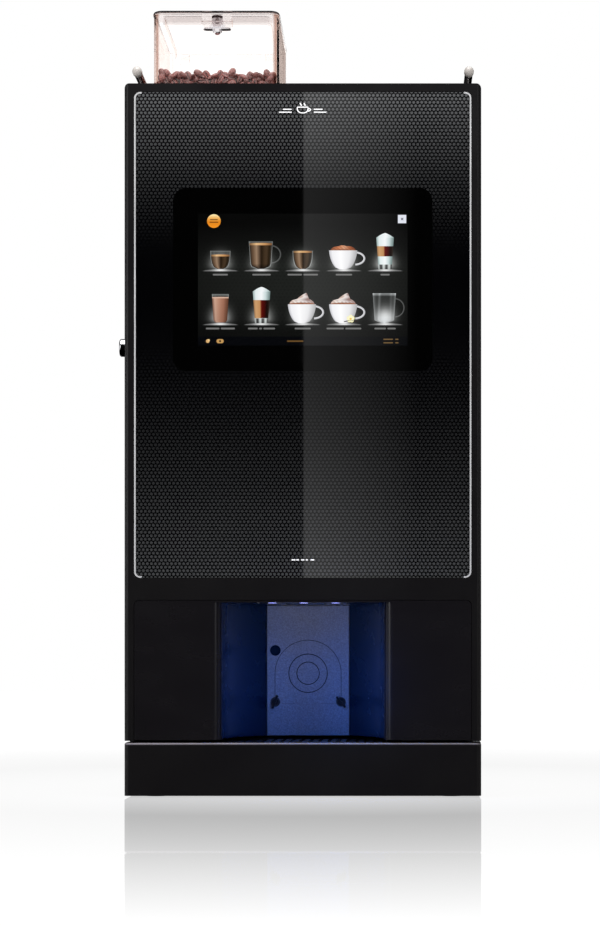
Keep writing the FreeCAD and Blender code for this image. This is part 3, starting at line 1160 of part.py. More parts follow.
def power_switch():
    """Rocker with two faces that meet in a shallow V over its pivot."""
    y = CAB_REAR
    x0 = INLET_X + 6 + LOOSE
    x1 = INLET_X + 24 - LOOSE
    body = prism(
        [
            (y - 11, INLET_Z - 6), (y - 1, INLET_Z - 9.4), (y + 3.2, INLET_Z - 9.0), (y + 1.4, INLET_Z),
            (y + 3.2, INLET_Z + 9.0), (y - 1, INLET_Z + 9.4), (y - 11, INLET_Z + 6),
        ],
        "x", x0, x1,
    )
    pivot = rod((INLET_X + 4.5, y - 5, INLET_Z), (1, 0, 0), 1.5, 21.0)
    rocker = joined([body, pivot])
    rocker.rotate(V(0, y - 5, INLET_Z), V(1, 0, 0), -SWITCH_TILT)
    return rocker


def inlet_valve():
    """Solenoid valve whose three-quarter-inch threaded inlet comes out through the rear panel."""
    y = CAB_REAR
    thread = rod((WATER_X, y, WATER_Z), (0, 1, 0), 13.2, PORT_DEPTH)
    stem = rod((WATER_X, y - 30, WATER_Z), (0, 1, 0), 11.8, 31.0)
    hexagon = [(19 * math.cos(i * math.pi / 3), 19 * math.sin(i * math.pi / 3)) for i in range(6)]
    nut = prism([(WATER_X + a, WATER_Z + b) for a, b in hexagon], "y", y - SHEET - 5, y - SHEET)
    coil = rod((WATER_X, y - 38, WATER_Z - 14), (0, 0, 1), 13.0, 52.0)
    outlet = rod((WATER_X, y - 38, WATER_Z - 26), (0, 0, 1), 6.0, 12.0)
    bore = rod((WATER_X, y - 20, WATER_Z), (0, 1, 0), 8.0, 40.0)
    return joined([thread, stem, nut, coil, outlet]).cut(bore)


# ---------------------------------------------------------------- write every node
NODES = {
    "base_pan": base_pan,
    "feet": feet,
    "drawer_front": drawer_front,
    "drip_tray": drip_tray,
    "drip_grille": drip_grille,
    "rear_panel": rear_panel,
    "top_panel": top_panel,
    "mounting_plate": mounting_plate,
    "rails": rails,
    "rail_end_caps": rail_end_caps,
    "door_hinges": door_hinges,
    "door_frame": door_frame,
    "glass_panel": glass_panel,
    "panel_trims": panel_trims,
    "touch_panel": touch_panel,
    "display_module": display_module,
    "door_inner_cover": door_inner_cover,
    "niche_moulding": niche_moulding,
    "niche_back_panel": niche_back_panel,
    "niche_thumbscrews": niche_thumbscrews,
    "led_lenses": led_lenses,
    "lock_body": lock_body,
    "lock_cam": lock_cam,
    "hopper": hopper,
    "coffee_beans": coffee_beans,
    "hopper_lid": hopper_lid,
    "hopper_lid_lock": hopper_lid_lock,
    "bean_shutter": bean_shutter,
    "grinder_housing": grinder_housing,
    "grinder_motor": grinder_motor,
    "grinder_burr": grinder_burr,
    "brewer_frame": brewer_frame,
    "brewer_piston": brewer_piston,
    "brewer_gear": brewer_gear,
    "brewer_motor": brewer_motor,
    "canisters": canisters,
    "canister_lids": canister_lids,
    "mixer_bowls": mixer_bowls,
    "powder_motors": powder_motors,
    "nozzle_block": nozzle_block,
    "hoses": hoses,
    "grounds_bin": grounds_bin,
    "boiler": boiler,
    "water_pump": water_pump,
    "air_break_tank": air_break_tank,
    "power_supply": power_supply,
    "control_board": control_board,
    "fan_housing": fan_housing,
    "exhaust_fan": exhaust_fan,
    "mains_inlet": mains_inlet,
    "power_switch": power_switch,
    "inlet_valve": inlet_valve,
}

os.makedirs("parts", exist_ok=True)
save("side_panel_left", side_panel(-1))
save("side_panel_right", side_panel(1))
for number, can_x in enumerate(CAN_X, start=1):
    save("auger_" + str(number), auger(can_x))
    save("whipper_" + str(number), whipper(can_x))
for node_name, make in NODES.items():
    save(node_name, make())
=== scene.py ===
import json
import random
from itertools import product
from math import cos, exp, hypot, pi, radians, sin, sqrt, tau

import bmesh
import bpy
from mathutils import Color, Matrix, Vector

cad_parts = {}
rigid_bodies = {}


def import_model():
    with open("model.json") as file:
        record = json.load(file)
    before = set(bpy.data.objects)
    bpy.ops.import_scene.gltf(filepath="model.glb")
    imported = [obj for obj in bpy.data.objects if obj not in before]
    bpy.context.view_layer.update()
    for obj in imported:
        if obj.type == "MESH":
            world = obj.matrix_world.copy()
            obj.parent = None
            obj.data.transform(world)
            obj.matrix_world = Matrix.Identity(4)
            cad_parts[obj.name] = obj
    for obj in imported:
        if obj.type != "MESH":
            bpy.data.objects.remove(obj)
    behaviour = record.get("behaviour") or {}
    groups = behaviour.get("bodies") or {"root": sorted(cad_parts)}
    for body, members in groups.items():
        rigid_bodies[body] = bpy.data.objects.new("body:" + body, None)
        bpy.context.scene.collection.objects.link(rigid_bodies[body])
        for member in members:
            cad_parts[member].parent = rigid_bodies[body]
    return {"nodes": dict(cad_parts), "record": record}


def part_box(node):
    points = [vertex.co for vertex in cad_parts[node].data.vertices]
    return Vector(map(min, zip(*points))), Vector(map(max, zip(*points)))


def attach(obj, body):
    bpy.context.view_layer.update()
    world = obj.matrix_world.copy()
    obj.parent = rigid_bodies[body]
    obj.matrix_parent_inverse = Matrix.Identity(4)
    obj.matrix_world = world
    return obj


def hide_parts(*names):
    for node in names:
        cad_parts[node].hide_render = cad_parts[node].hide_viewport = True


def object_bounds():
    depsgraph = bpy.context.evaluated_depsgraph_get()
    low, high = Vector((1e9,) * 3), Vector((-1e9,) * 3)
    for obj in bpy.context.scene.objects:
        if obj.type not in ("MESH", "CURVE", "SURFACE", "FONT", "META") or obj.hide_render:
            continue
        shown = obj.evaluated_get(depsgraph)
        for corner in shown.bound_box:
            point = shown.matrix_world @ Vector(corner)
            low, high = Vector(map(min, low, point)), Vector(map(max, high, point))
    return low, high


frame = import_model()
cad_low, cad_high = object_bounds()
nodes = frame["nodes"]
slot_of = {part["node"]: part["material_slot"] for part in frame["record"]["subparts"]}
scene = bpy.context.scene
scene.view_settings.view_transform = "Standard"
MM = 0.001


# ---- node materials
def colour(red, green, blue):
    """A display colour, 0 to 255, as the linear RGBA that nodes use."""
    linear = Color((red / 255, green / 255, blue / 255)).from_srgb_to_scene_linear()
    return (*linear, 1.0)


def lighter(base, factor):
    return (*(min(1.0, channel * factor) for channel in base[:3]), 1.0)


class Finish:
    """A procedural material. Places and sizes are in metres, in the machine's own frame."""

    def __init__(self, name, constants=()):
        self.material = bpy.data.materials.new(name)
        self.material.use_nodes = True
        self.tree = self.material.node_tree
        self.shader = self.tree.nodes["Principled BSDF"]
        self.constants(constants)

    def constants(self, values):
        for socket, value in dict(values).items():
            self.set(socket, value)

    def give(self, socket, value):
        if isinstance(value, bpy.types.NodeSocket):
            self.tree.links.new(value, socket)
        else:
            socket.default_value = value

    def set(self, socket, value):
        self.give(self.shader.inputs[socket], value)

    def node(self, kind, inputs=(), **settings):
        made = self.tree.nodes.new("ShaderNode" + kind)
        for name, value in settings.items():
            setattr(made, name, value)
        for name, value in dict(inputs).items():
            self.give(made.inputs[name], value)
        return made

    def place(self, stretch=(1, 1, 1)):
        point = self.node("TexCoord").outputs["Object"]
        if tuple(stretch) == (1, 1, 1):
            return point
        return self.node("Mapping", {"Vector": point, "Scale": stretch}).outputs["Vector"]

    def parts(self):
        return self.node("SeparateXYZ", {"Vector": self.place()}).outputs

    def noise(self, size, detail=3.0, stretch=(1, 1, 1)):
        inputs = {"Vector": self.place(stretch), "Scale": 1 / size, "Detail": detail}
        return self.node("TexNoise", inputs).outputs["Fac"]

    def cells(self, size, feature="F1"):
        inputs = {"Vector": self.place(), "Scale": 1 / size}
        return self.node("TexVoronoi", inputs, feature=feature).outputs["Distance"]

    def remap(self, value, low, high, out_low, out_high, smooth=False):
        inputs = {"Value": value, "From Min": low, "From Max": high, "To Min": out_low, "To Max": out_high}
        kind = "SMOOTHSTEP" if smooth else "LINEAR"
        return self.node("MapRange", inputs, interpolation_type=kind).outputs["Result"]

    def rise(self, value, low, high):
        """0 where value is at low and 1 where it is at high."""
        return self.remap(value, low, high, 0.0, 1.0)

    def fall(self, value, low, high):
        """1 where value is at low and 0 where it is at high."""
        return self.remap(value, low, high, 1.0, 0.0)

    def maths(self, operation, a, b=0.0):
        return self.node("Math", {0: a, 1: b}, operation=operation).outputs[0]

    def times(self, result, *others):
        for other in others:
            result = self.maths("MULTIPLY", result, other)
        return result

    def length(self, **parts):
        """The length of the vector with the given X, Y and Z."""
        vector = self.node("CombineXYZ", parts).outputs["Vector"]
        return self.node("VectorMath", {0: vector}, operation="LENGTH").outputs["Value"]

    def scaled(self, vector, factor):
        return self.node("VectorMath", {0: vector, "Scale": factor}, operation="SCALE").outputs["Vector"]

    def blend(self, factor, a, b):
        """Colour a where factor is 0 and b where it is 1."""
        made = self.node("Mix", data_type="RGBA")
        self.give(made.inputs["Factor"], factor)
        self.give(made.inputs[6], a)
        self.give(made.inputs[7], b)
        return made.outputs[2]

    def mottle(self, noise, tone, dark, light):
        """tone varied between two factors by a noise."""
        return self.blend(self.rise(noise, 0.3, 0.7), lighter(tone, dark), lighter(tone, light))

    def tint(self, value):
        self.set("Base Color", value)

    def rough(self, value, low, high, out_low, out_high):
        self.set("Roughness", self.remap(value, low, high, out_low, out_high))

    def relief(self, *heights):
        """Bumps, each a value from 0 to 1 and its depth in metres."""
        total = 0.0
        for value, depth in heights:
            total = self.maths("ADD", self.times(value, depth), total)
        made = self.node("Bump", {"Height": total, "Distance": 1.0, "Strength": 1.0})
        self.set("Normal", made.outputs["Normal"])

    def show(self, output):
        """Makes output the surface, in place of the Principled shader; it isn't sampled as a lamp."""
        self.tree.nodes.remove(self.shader)
        self.give(self.tree.nodes["Material Output"].inputs["Surface"], output)
        self.material.cycles.emission_sampling = "NONE"
        return self.material

    def facing_up(self):
        normal = self.node("NewGeometry").outputs["Normal"]
        return self.node("SeparateXYZ", {"Vector": normal}).outputs["Z"]

    def dusty(self, base, amount=0.35, tone=colour(120, 116, 110)):
        """base with fine dust that has settled on the faces that look up."""
        specks = self.rise(self.noise(0.0016, 4.0), 0.5, 0.72)
        drift = self.remap(self.noise(0.05, 3.0), 0.35, 0.75, 0.15, 1.0)
        up = self.remap(self.facing_up(), 0.75, 1.0, 0.0, amount)
        return self.blend(self.times(specks, drift, up), base, tone)


# Pale tone of the painted highlight along the drawer front's top edge.
EDGE_HIGHLIGHT_TONE = colour(138, 132, 140)
LID_BAND = 13.0 * MM
LID_PLATE = 4.0 * MM
LID_TONE = colour(233, 228, 227)
CORNER_TONE = colour(184, 150, 137)
RIM_TONE = colour(66, 52, 50)
DOT_PITCH = 4.18 * MM
DOT_ROWS = DOT_PITCH * sqrt(3)
PRINT_TOP = 0.135
PRINT_FOOT = 0.062
LIP_DEEP = 7.0 * MM
WHITE = (1, 1, 1, 1)


def powder_coat(f, tone, rough, grain):
    """Satin black powder coat over soft orange peel: dusty on top, with a painted highlight along the
    drawer's top edge, brighter towards the left.
    """
    f.constants({"IOR": 1.46})
    fine = f.noise(grain, 2.0)
    # Painted highlight: a pale band on the drawer front's top edge, brighter towards the left, in place of
    # the light on that edge.
    low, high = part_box("drawer_front")
    x, y, z = f.parts()
    near_top = f.rise(z, high.z - 2.4 * MM, high.z - 1.2 * MM)
    near_front = f.rise(y, low.y + 3 * MM, low.y + 2 * MM)
    not_above = f.rise(z, high.z + 1 * MM, high.z + 0.5 * MM)
    more_left = f.remap(x, -0.2, 0.0, 1.0, 0.42)
    painted_highlight = f.times(near_top, near_front, not_above, more_left)
    f.tint(f.blend(painted_highlight, f.dusty(f.mottle(fine, tone, 0.75, 1.3)), EDGE_HIGHLIGHT_TONE))
    f.rough(f.noise(0.07, 4.0), 0.3, 0.7, rough - 0.05, rough + 0.06)
    f.relief((fine, 0.03 * MM), (f.noise(0.0035, 1.0), 0.03 * MM))


def plastic(f, tone, rough, grain=0.0005, depth=0.02, dust=0.2):
    """Moulded plastic with an etched grain and slight flow marks."""
    f.constants({"IOR": 1.5})
    flow = f.noise(0.03, 3.0, (1, 1, 0.35))
    f.tint(f.dusty(f.mottle(flow, tone, 0.86, 1.1), dust))
    f.rough(f.noise(0.02, 4.0), 0.3, 0.7, rough - 0.04, rough + 0.05)
    f.relief((f.noise(grain, 2.0), depth * MM))


def metal(f, tone, rough, stretch=(1, 1, 1), line=0.0008, depth=0.004, shine=1.0):
    """Bare metal. stretch under 1 along an axis draws the grain out along it, as brushing does."""
    f.constants({"Metallic": shine})
    grain = f.noise(line, 3.0, stretch)
    f.tint(f.mottle(grain, tone, 0.85, 1.08))
    smear = f.remap(f.noise(0.02, 4.0), 0.4, 0.7, 0.0, 0.07)
    f.set("Roughness", f.maths("ADD", f.remap(grain, 0.3, 0.7, rough * 0.8, rough * 1.25), smear))
    f.relief((grain, depth * MM))


def corner_mask(f, x, y):
    """1 at the hopper's four upright corners, where the moulding is thick, and 0 elsewhere."""
    low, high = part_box("hopper")
    in_x = f.maths("MINIMUM", f.maths("SUBTRACT", x, low.x), f.maths("SUBTRACT", high.x, x))
    in_y = f.maths("MINIMUM", f.maths("SUBTRACT", y, low.y), f.maths("SUBTRACT", high.y, y))
    beside = f.fall(in_x, 4.0 * MM, 7.0 * MM)
    return f.times(beside, f.fall(in_y, 7.0 * MM, 13.0 * MM))


def clear_plastic(f, tone, edge_tone):
    """Clear moulding with faint haze, tinted at its corners, the lid's band and walls seen edge on."""
    f.constants({"Transmission Weight": 1.0, "IOR": 1.03, "Coat Weight": 0.1, "Coat Roughness": 0.04})
    haze = f.rise(f.noise(0.03, 4.0), 0.35, 0.75)
    face = f.blend(haze, tone, lighter(tone, 0.985))
    low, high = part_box("hopper_lid")
    band_foot = high.z - LID_BAND
    plate_foot = high.z - LID_PLATE
    x, y, z = f.parts()
    level = f.maths("ABSOLUTE", f.facing_up())
    band = f.times(f.rise(z, band_foot, band_foot + 0.5 * MM), f.fall(y, low.y + 30 * MM, low.y + 40 * MM))
    face = f.blend(f.times(band, f.fall(level, 0.2, 0.8)), face, LID_TONE)
    face = f.blend(corner_mask(f, x, y), face, CORNER_TONE)
    rim = f.times(f.rise(z, plate_foot - 0.3 * MM, plate_foot + 0.3 * MM),
                  f.fall(y, high.y - 45 * MM, high.y - 30 * MM), f.fall(level, 0.85, 0.97))
    face = f.blend(rim, face, RIM_TONE)
    edge_on = f.node("LayerWeight", {"Blend": 0.5}).outputs["Facing"]
    f.tint(f.blend(f.rise(edge_on, 0.8, 0.97), face, edge_tone))
    f.rough(f.noise(0.012, 5.0), 0.5, 0.75, 0.02, 0.06)
    f.relief((f.noise(0.02, 1.0), 0.03 * MM))


def printed_glass(f):
    """Black glass with rows of domed grey dots printed behind it, strongest at its two ends."""
    low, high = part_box("glass_panel")
    f.constants({"IOR": 1.6, "Specular IOR Level": 1.0})
    x, _, z = f.parts()

    def wrapped(value, shift, step):
        """value folded into one step of the pattern, from minus half a step to half a step."""
        made = f.maths("WRAP", f.maths("ADD", value, shift * step), step / 2)
        f.give(made.node.inputs[2], -step / 2)
        return made
    grids = [f.length(X=wrapped(x, shift, DOT_PITCH), Z=wrapped(z, shift, DOT_ROWS)) for shift in (0.0, 0.5)]
    dot = f.remap(f.maths("MINIMUM", *grids), 1.95 * MM, 1.0 * MM, 0.0, 1.0, smooth=True)
    top = f.maths("POWER", f.rise(z, high.z - 0.186, high.z + 0.004), 2.3)
    foot = f.maths("POWER", f.rise(z, high.z - 0.205, low.z), 2.2)
    strength = f.maths("ADD", f.times(top, PRINT_TOP), f.times(foot, PRINT_FOOT))
    f.tint(f.blend(f.times(dot, strength), colour(3, 3, 4), (0.95, 0.97, 1.0, 1.0)))
    f.set("Specular Tint", f.blend(f.rise(strength, 0.0, 0.07), (0.4, 0.4, 0.4, 1.0), WHITE))
    f.rough(f.noise(0.04, 5.0), 0.45, 0.75, 0.012, 0.03)


def gloss_black(f, tone, rough, level=0.5):
    """Polished black surface with faint wiping marks."""
    f.constants({"IOR": 1.5, "Specular IOR Level": level})
    wiped = f.noise(0.03, 5.0, (0.4, 1, 1))
    f.tint(f.dusty(f.blend(wiped, lighter(tone, 0.8), lighter(tone, 1.2)), 0.15))
    f.rough(wiped, 0.4, 0.75, rough, rough * 1.15 + 0.015)
    f.relief((f.noise(0.0012, 2.0), rough * 0.006 * MM))


def bay_moulding(f, tone, painted_glow_tone):
    """Polished moulding with wiping marks, with the lamps' blue glow painted on the faces that look into the
    bay and painted blue reflections there.
    """
    low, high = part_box("niche_moulding")
    f.constants({"IOR": 1.5})
    x, y, _ = f.parts()
    deep = f.rise(y, low.y + LIP_DEEP, low.y + 3 * LIP_DEEP)
    sideways = f.maths("SUBTRACT", (low.x + high.x) / 2, x)
    forwards = f.maths("SUBTRACT", low.y, y)
    inward = f.node("CombineXYZ", {"X": sideways, "Y": forwards}).outputs["Vector"]
    normal = f.node("TexCoord").outputs["Normal"]
    towards = f.node("VectorMath", {0: normal, 1: inward}, operation="DOT_PRODUCT").outputs["Value"]
    # Painted light: the blue glow of the bay's lamps, on the faces that look into the bay.
    painted_lamp_glow = f.times(deep, f.rise(towards, 0.0, 2 * MM))
    wiped = f.noise(0.03, 5.0, (0.4, 1, 1))
    plain = f.blend(painted_lamp_glow, tone, painted_glow_tone)
    f.tint(f.dusty(f.scaled(plain, f.remap(wiped, 0.0, 1.0, 0.8, 1.2)), 0.15))
    f.set("Specular Tint", f.blend(painted_lamp_glow, WHITE, (0.3, 0.62, 1.0, 1.0)))
    f.rough(wiped, 0.4, 0.75, 0.24, 0.3)
    f.relief((f.noise(0.0012, 2.0), 0.0014 * MM))


def grained_panel(f, tone):
    """The bay's back: fine crinkle paint that sparkles a little."""
    f.constants({"IOR": 1.5, "Metallic": 0.25})
    crinkle = f.noise(0.0011, 3.0)
    f.tint(f.mottle(crinkle, tone, 0.72, 1.25))
    f.rough(f.noise(0.03, 3.0), 0.3, 0.7, 0.42, 0.55)
    f.relief((crinkle, 0.12 * MM))


def roasted_bean(f):
    """Coffee bean skin: tone by bean with painted shade in the crease, mottled and slightly oily."""
    f.constants({"IOR": 1.48, "Coat Weight": 0.25, "Coat Roughness": 0.25})
    tone = f.node("VertexColor", layer_name="bean_tone_and_shade").outputs["Color"]
    f.tint(f.scaled(tone, f.remap(f.noise(0.0022, 4.0), 0.3, 0.7, 0.7, 1.25)))
    f.rough(f.noise(0.003, 3.0), 0.3, 0.7, 0.32, 0.55)
    f.relief((f.noise(0.0009, 3.0), 0.08 * MM))


def lamp_lens(f):
    """A frosted lens in front of a blue-white lamp, brightest in the middle."""
    f.constants({"Roughness": 0.3, "Emission Strength": 5.0})
    glow = f.rise(f.noise(0.004, 2.0), 0.3, 0.7)
    f.tint(f.blend(glow, colour(160, 170, 235), colour(215, 222, 255)))
    f.set("Emission Color", f.blend(glow, colour(110, 120, 255), colour(190, 195, 255)))


def circuit_board(f):
    """Solder mask with darker tracks and paler pads."""
    f.constants({"IOR": 1.5})
    tracks = f.fall(f.cells(0.004, "DISTANCE_TO_EDGE"), 0.04, 0.08)
    pads = f.fall(f.cells(0.0045), 0.16, 0.2)
    base = f.blend(tracks, colour(12, 74, 40), colour(26, 104, 60))
    f.tint(f.blend(pads, base, colour(176, 170, 150)))
    f.rough(f.noise(0.01, 3.0), 0.3, 0.7, 0.3, 0.45)
    f.relief((tracks, 0.03 * MM))


def milky(f, tone, weight):
    """Soft, slightly see-through plastic or silicone."""
    f.constants({"IOR": 1.45, "Transmission Weight": weight})
    cloud = f.noise(0.015, 3.0)
    f.tint(f.mottle(cloud, tone, 0.85, 1.05))
    f.rough(cloud, 0.3, 0.7, 0.28, 0.4)
    f.relief((f.noise(0.001, 2.0), 0.01 * MM))


def zinc_sheet(f):
    """Galvanised sheet with its pale crystals."""
    f.constants({"Metallic": 0.9})
    crystal = f.rise(f.cells(0.009), 0.0, 0.6)
    f.tint(f.blend(crystal, colour(190, 193, 196), colour(150, 153, 157)))
    f.rough(crystal, 0.0, 1.0, 0.3, 0.46)
    f.relief((f.noise(0.0008, 2.0), 0.006 * MM))


def rubber(f):
    f.constants({"IOR": 1.5})
    scuff = f.rise(f.noise(0.006, 5.0), 0.5, 0.75)
    f.tint(f.blend(scuff, colour(24, 24, 24), colour(52, 51, 50)))
    f.rough(scuff, 0.0, 1.0, 0.7, 0.85)
    f.relief((f.noise(0.0007, 3.0), 0.04 * MM))


FINISHES = {
    "case": (powder_coat, colour(18, 16, 18), 0.34, 0.0006),
    "door": (powder_coat, colour(17, 15, 17), 0.34, 0.0005),
    "glass": (printed_glass,),
    "touch_glass": (gloss_black, colour(2, 2, 2), 0.012),
    "trim": (metal, colour(214, 214, 216), 0.42, (1, 1, 0.03), 0.0008, 0.004, 0.25),
    # The second tone is the painted blue glow of the bay's lamps.
    "niche": (bay_moulding, colour(20, 18, 21), colour(5, 22, 40)),
    "niche_back": (grained_panel, colour(120, 125, 138)),
    "dark_fastener": (plastic, colour(30, 30, 34), 0.35),
    "led": (lamp_lens,),
    "chrome": (metal, colour(232, 232, 236), 0.09, (1, 1, 1), 0.0008, 0.001),
    "rail": (metal, colour(225, 222, 222), 0.07, (1, 0.05, 1), 0.0008, 0.0006),
    "rail_cap": (plastic, colour(196, 190, 185), 0.22, 0.0005, 0.004, 0.0),
    "hopper_clear": (clear_plastic, colour(254, 252, 251), colour(232, 192, 174)),
    "beans": (roasted_bean,),
    "tray": (plastic, colour(26, 26, 27), 0.35),
    "grille": (metal, colour(84, 84, 88), 0.32, (0.05, 1, 1)),
    "rubber": (rubber,),
    "zinc": (zinc_sheet,),
    "inner_cover": (plastic, colour(66, 66, 68), 0.5, 0.0008, 0.05),
    "electronics": (circuit_board,),
    "white_plastic": (plastic, colour(222, 220, 213), 0.42),
    "clear_powder": (milky, colour(214, 218, 222), 0.35),
    "grey_plastic": (plastic, colour(120, 123, 126), 0.45),
    "motor_metal": (metal, colour(176, 177, 180), 0.35),
    "burr_steel": (metal, colour(168, 168, 168), 0.25, (1, 1, 0.2)),
    "silicone": (milky, colour(224, 222, 214), 0.5),
    "boiler_steel": (metal, colour(196, 193, 188), 0.28, (1, 1, 0.04)),
    "brass": (metal, colour(205, 172, 104), 0.25),
    "black_plastic": (plastic, colour(28, 28, 29), 0.42),
    "display": (circuit_board,),
}
materials = {}
for slot, (paint, *settings) in FINISHES.items():
    finish = Finish(slot)
    paint(finish, *settings)
    materials[slot] = finish.material
for name, part in nodes.items():
    part.data.materials.clear()
    part.data.materials.append(materials[slot_of[name]])


# ---- making pieces
def add(name, data):
    made = bpy.data.objects.new(name, data)
    scene.collection.objects.link(made)
    return made


def mesh_piece(name, points, faces, material, smooth=True):
    mesh = bpy.data.meshes.new(name)
    mesh.from_pydata(points, [], faces)
    mesh.polygons.foreach_set("use_smooth", [smooth] * len(faces))
    mesh.materials.append(material)
    return add(name, mesh)


def paint_points(piece, layer, colours):
    attribute = piece.data.color_attributes.new(layer, "FLOAT_COLOR", "POINT")
    attribute.data.foreach_set("color", [channel for c in colours for channel in c])


def bands(first, count, sides):
    """Faces between count rings of that many sides, whose points start at number first."""
    faces = []
    for start in range(first, first + (count - 1) * sides, sides):
        for k in range(sides):
            a, b = start + k, start + (k + 1) % sides
            faces.append((a, b, b + sides, a + sides))
    return faces


def beside(path, t, reach):
    """The point that lies reach to the side of path(t)."""
    here, ahead = path(t), path(t + 0.01)
    dx, dz = ahead[0] - here[0], ahead[1] - here[1]
    k = reach / hypot(dx, dz)
    return here[0] - dz * k, here[1] + dx * k


def finished(piece, body):
    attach(piece, body)


# ---- the screen's picture
touch_low, touch_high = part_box("touch_panel")
SCREEN_X = (touch_low.x + touch_high.x) / 2
SCREEN_Z = (touch_low.z + touch_high.z) / 2
SCREEN_W = 217.0
SCREEN_H = 136.6
STATUS_H = 9.5
COLUMNS = [42.65 * column for column in range(-2, 3)]
ROW_BASES = (10.6, -45.2)
LAYER_STEP = 0.02 * MM
SCREEN_FRONT = touch_low.y - 0.05 * MM


def along(stops, t):
    """The colour at t between the (t, colour) stops."""
    for (t0, c0), (t1, c1) in zip(stops, stops[1:]):
        if t <= t1:
            k = max(0.0, (t - t0) / (t1 - t0))
            return tuple(a + (b - a) * k for a, b in zip(c0, c1))
    return stops[-1][1]


def across(stops):
    """Paint that follows the stops from left to right."""
    return lambda u, v: along(stops, u)


def flat(*tone):
    return lambda u, v: tone


def bump(value, middle, spread):
    return exp(-((value - middle) / spread) ** 2)


def clamp(value):
    return max(0.0, min(1.0, value))


def halo_at(u, w):
    """The glow behind the drinks, 0 to 1, at a point of the screen in millimetres from its centre."""
    total = 0.0
    for base in ROW_BASES:
        for column in COLUMNS:
            du = (u - column) / 9.8
            dw = (w - base - 5.0) / (11.0 if w > base + 5.0 else 5.0)
            total += exp(-du * du - dw * dw)
    return total


def backdrop(u, w):
    """The dark backdrop: lighter across the middle, with a faint honeycomb and the drinks' glow."""
    if w < STATUS_H - SCREEN_H / 2:
        return (5.0, 6.0, 9.0)
    tone = 6 + 23 * clamp((58 - w) / 46) - 15 * clamp((-15 - w) / 41)
    tone *= 1 - 0.3 * (u / (SCREEN_W / 2)) ** 2
    column, row = u * MM / DOT_PITCH, w * MM / DOT_ROWS
    comb = min(hypot((column + s) % 1 - 0.5, ((row + s) % 1 - 0.5) * sqrt(3)) for s in (0.0, 0.5))
    tone *= 0.86 + 0.22 * clamp(comb / 0.4)
    glow = 205 * halo_at(u, w)
    return tuple(min(250.0, tone * k + glow) for k in (0.97, 1.03, 0.96))


class Picture:
    """Flat painted shapes in front of the touch glass, gathered into one mesh."""

    def __init__(self):
        self.points, self.faces, self.colours = [], [], []

    def patch(self, place, paint, across=12, up=8, layer=1):
        """A grid over u, v in 0 to 1. place gives millimetres; paint gives a display colour and cover."""
        first = len(self.points)
        y = SCREEN_FRONT - layer * LAYER_STEP
        for j in range(up + 1):
            for i in range(across + 1):
                u, v = i / across, j / up
                x, z = place(u, v)
                self.points.append((SCREEN_X + x * MM, y, SCREEN_Z + z * MM))
                *tone, cover = (*paint(u, v), 1.0)[:4]
                under = backdrop(x, z) if cover < 1 else (0, 0, 0)
                mixed = [b + (a - b) * cover for a, b in zip(tone, under)]
                self.colours.append(colour(*(max(0.0, c) for c in mixed)))
        for j in range(up):
            for i in range(across):
                a = first + j * (across + 1) + i
                self.faces.append((a, a + 1, a + across + 2, a + across + 1))

    def box(self, x, z, width, height, tone, layer=3):
        """A bar with rounded ends."""
        def place(u, v):
            edge = sqrt(1 - (2 * v - 1) ** 2 * 0.9) * height / 2
            return x + (2 * u - 1) * (width / 2 - height / 2 + edge), z + (v - 0.5) * height
        self.patch(place, flat(*tone), 1, 6, layer)

    def disc(self, x, z, radius, paint, layer=3):
        def place(u, v):
            turn = tau * (1 - u)
            return x + radius * v * sin(turn), z + radius * v * cos(turn)
        self.patch(place, paint, 32, 4, layer)

    def stroke(self, path, width, paint, steps=24, layer=2):
        """A line of that width along path(t)."""
        self.patch(lambda u, v: beside(path, u, (v - 0.5) * width), paint, steps, 2, layer)

    def piece(self, name):
        made = mesh_piece(name, self.points, self.faces, SCREEN_MATERIAL, smooth=False)
        paint_points(made, "screen_colour", self.colours)
        finished(made, "door")


def lit_screen():
    """Light from the picture's own colours behind glossy glass, over the panel's fine pixel rows."""
    f = Finish("screen_picture", {"IOR": 1.6, "Specular IOR Level": 0.62, "Emission Strength": 1.0})
    f.tint(f.blend(f.noise(0.02, 3.0), colour(1, 1, 1), colour(4, 4, 4)))
    f.rough(f.noise(0.03, 5.0), 0.4, 0.75, 0.012, 0.03)
    picture = f.node("VertexColor", layer_name="screen_colour").outputs["Color"]
    wave = f.maths("SINE", f.times(f.parts()[2], tau / (0.17 * MM)))
    f.set("Emission Color", f.scaled(picture, f.remap(wave, -1, 1, 0.94, 1.06)))
    return f.material


SCREEN_MATERIAL = lit_screen()


def vessel(half, lean, foot, power=2.2):
    """Half width of a round-bottomed glass at v, 0 at its foot and 1 at its rim."""
    def width(v):
        rounding = (1 - (1 - min(v / foot, 1.0)) ** power) ** (1 / power) if foot else 1.0
        return half * (1 - lean * (1 - v)) * (0.3 + 0.7 * rounding)
    return width


def filled(glass, low, high, paint, layer=2, dome=0.0):
    """Fills a glass (picture, x, base, shape, height) between two heights. dome lifts the top's middle."""
    picture, x, base, shape, height = glass

    def place(u, v):
        z = low + (high - low) * v
        side = 2 * u - 1
        return x + side * shape(z / height), base + z + dome * v * (1 - side * side)
    picture.patch(place, paint, 20, 10, layer)


def glass_shell(glass, strength=0.5):
    """The clear wall around a drink: bright at its edges and rim."""
    def paint(u, v):
        edge = abs(2 * u - 1) ** 8
        rim = clamp((v - 0.93) / 0.07)
        streak = 0.35 * bump(u, 0.18, 0.05) + 0.2 * bump(u, 0.85, 0.04)
        return (205, 210, 208, clamp(0.06 + strength * max(edge, rim * 0.8, streak)))
    filled(glass, 0.0, glass[-1], paint, 1)


def handle(picture, x, z, width, height, thick, tone, cover=1.0):
    def path(t):
        turn = pi * (0.5 - t)
        return x + width * cos(turn), z + height / 2 * sin(turn) - 0.12 * height * t
    picture.stroke(path, thick, lambda u, v: (*(c * (1 - 0.25 * v) for c in tone), cover))


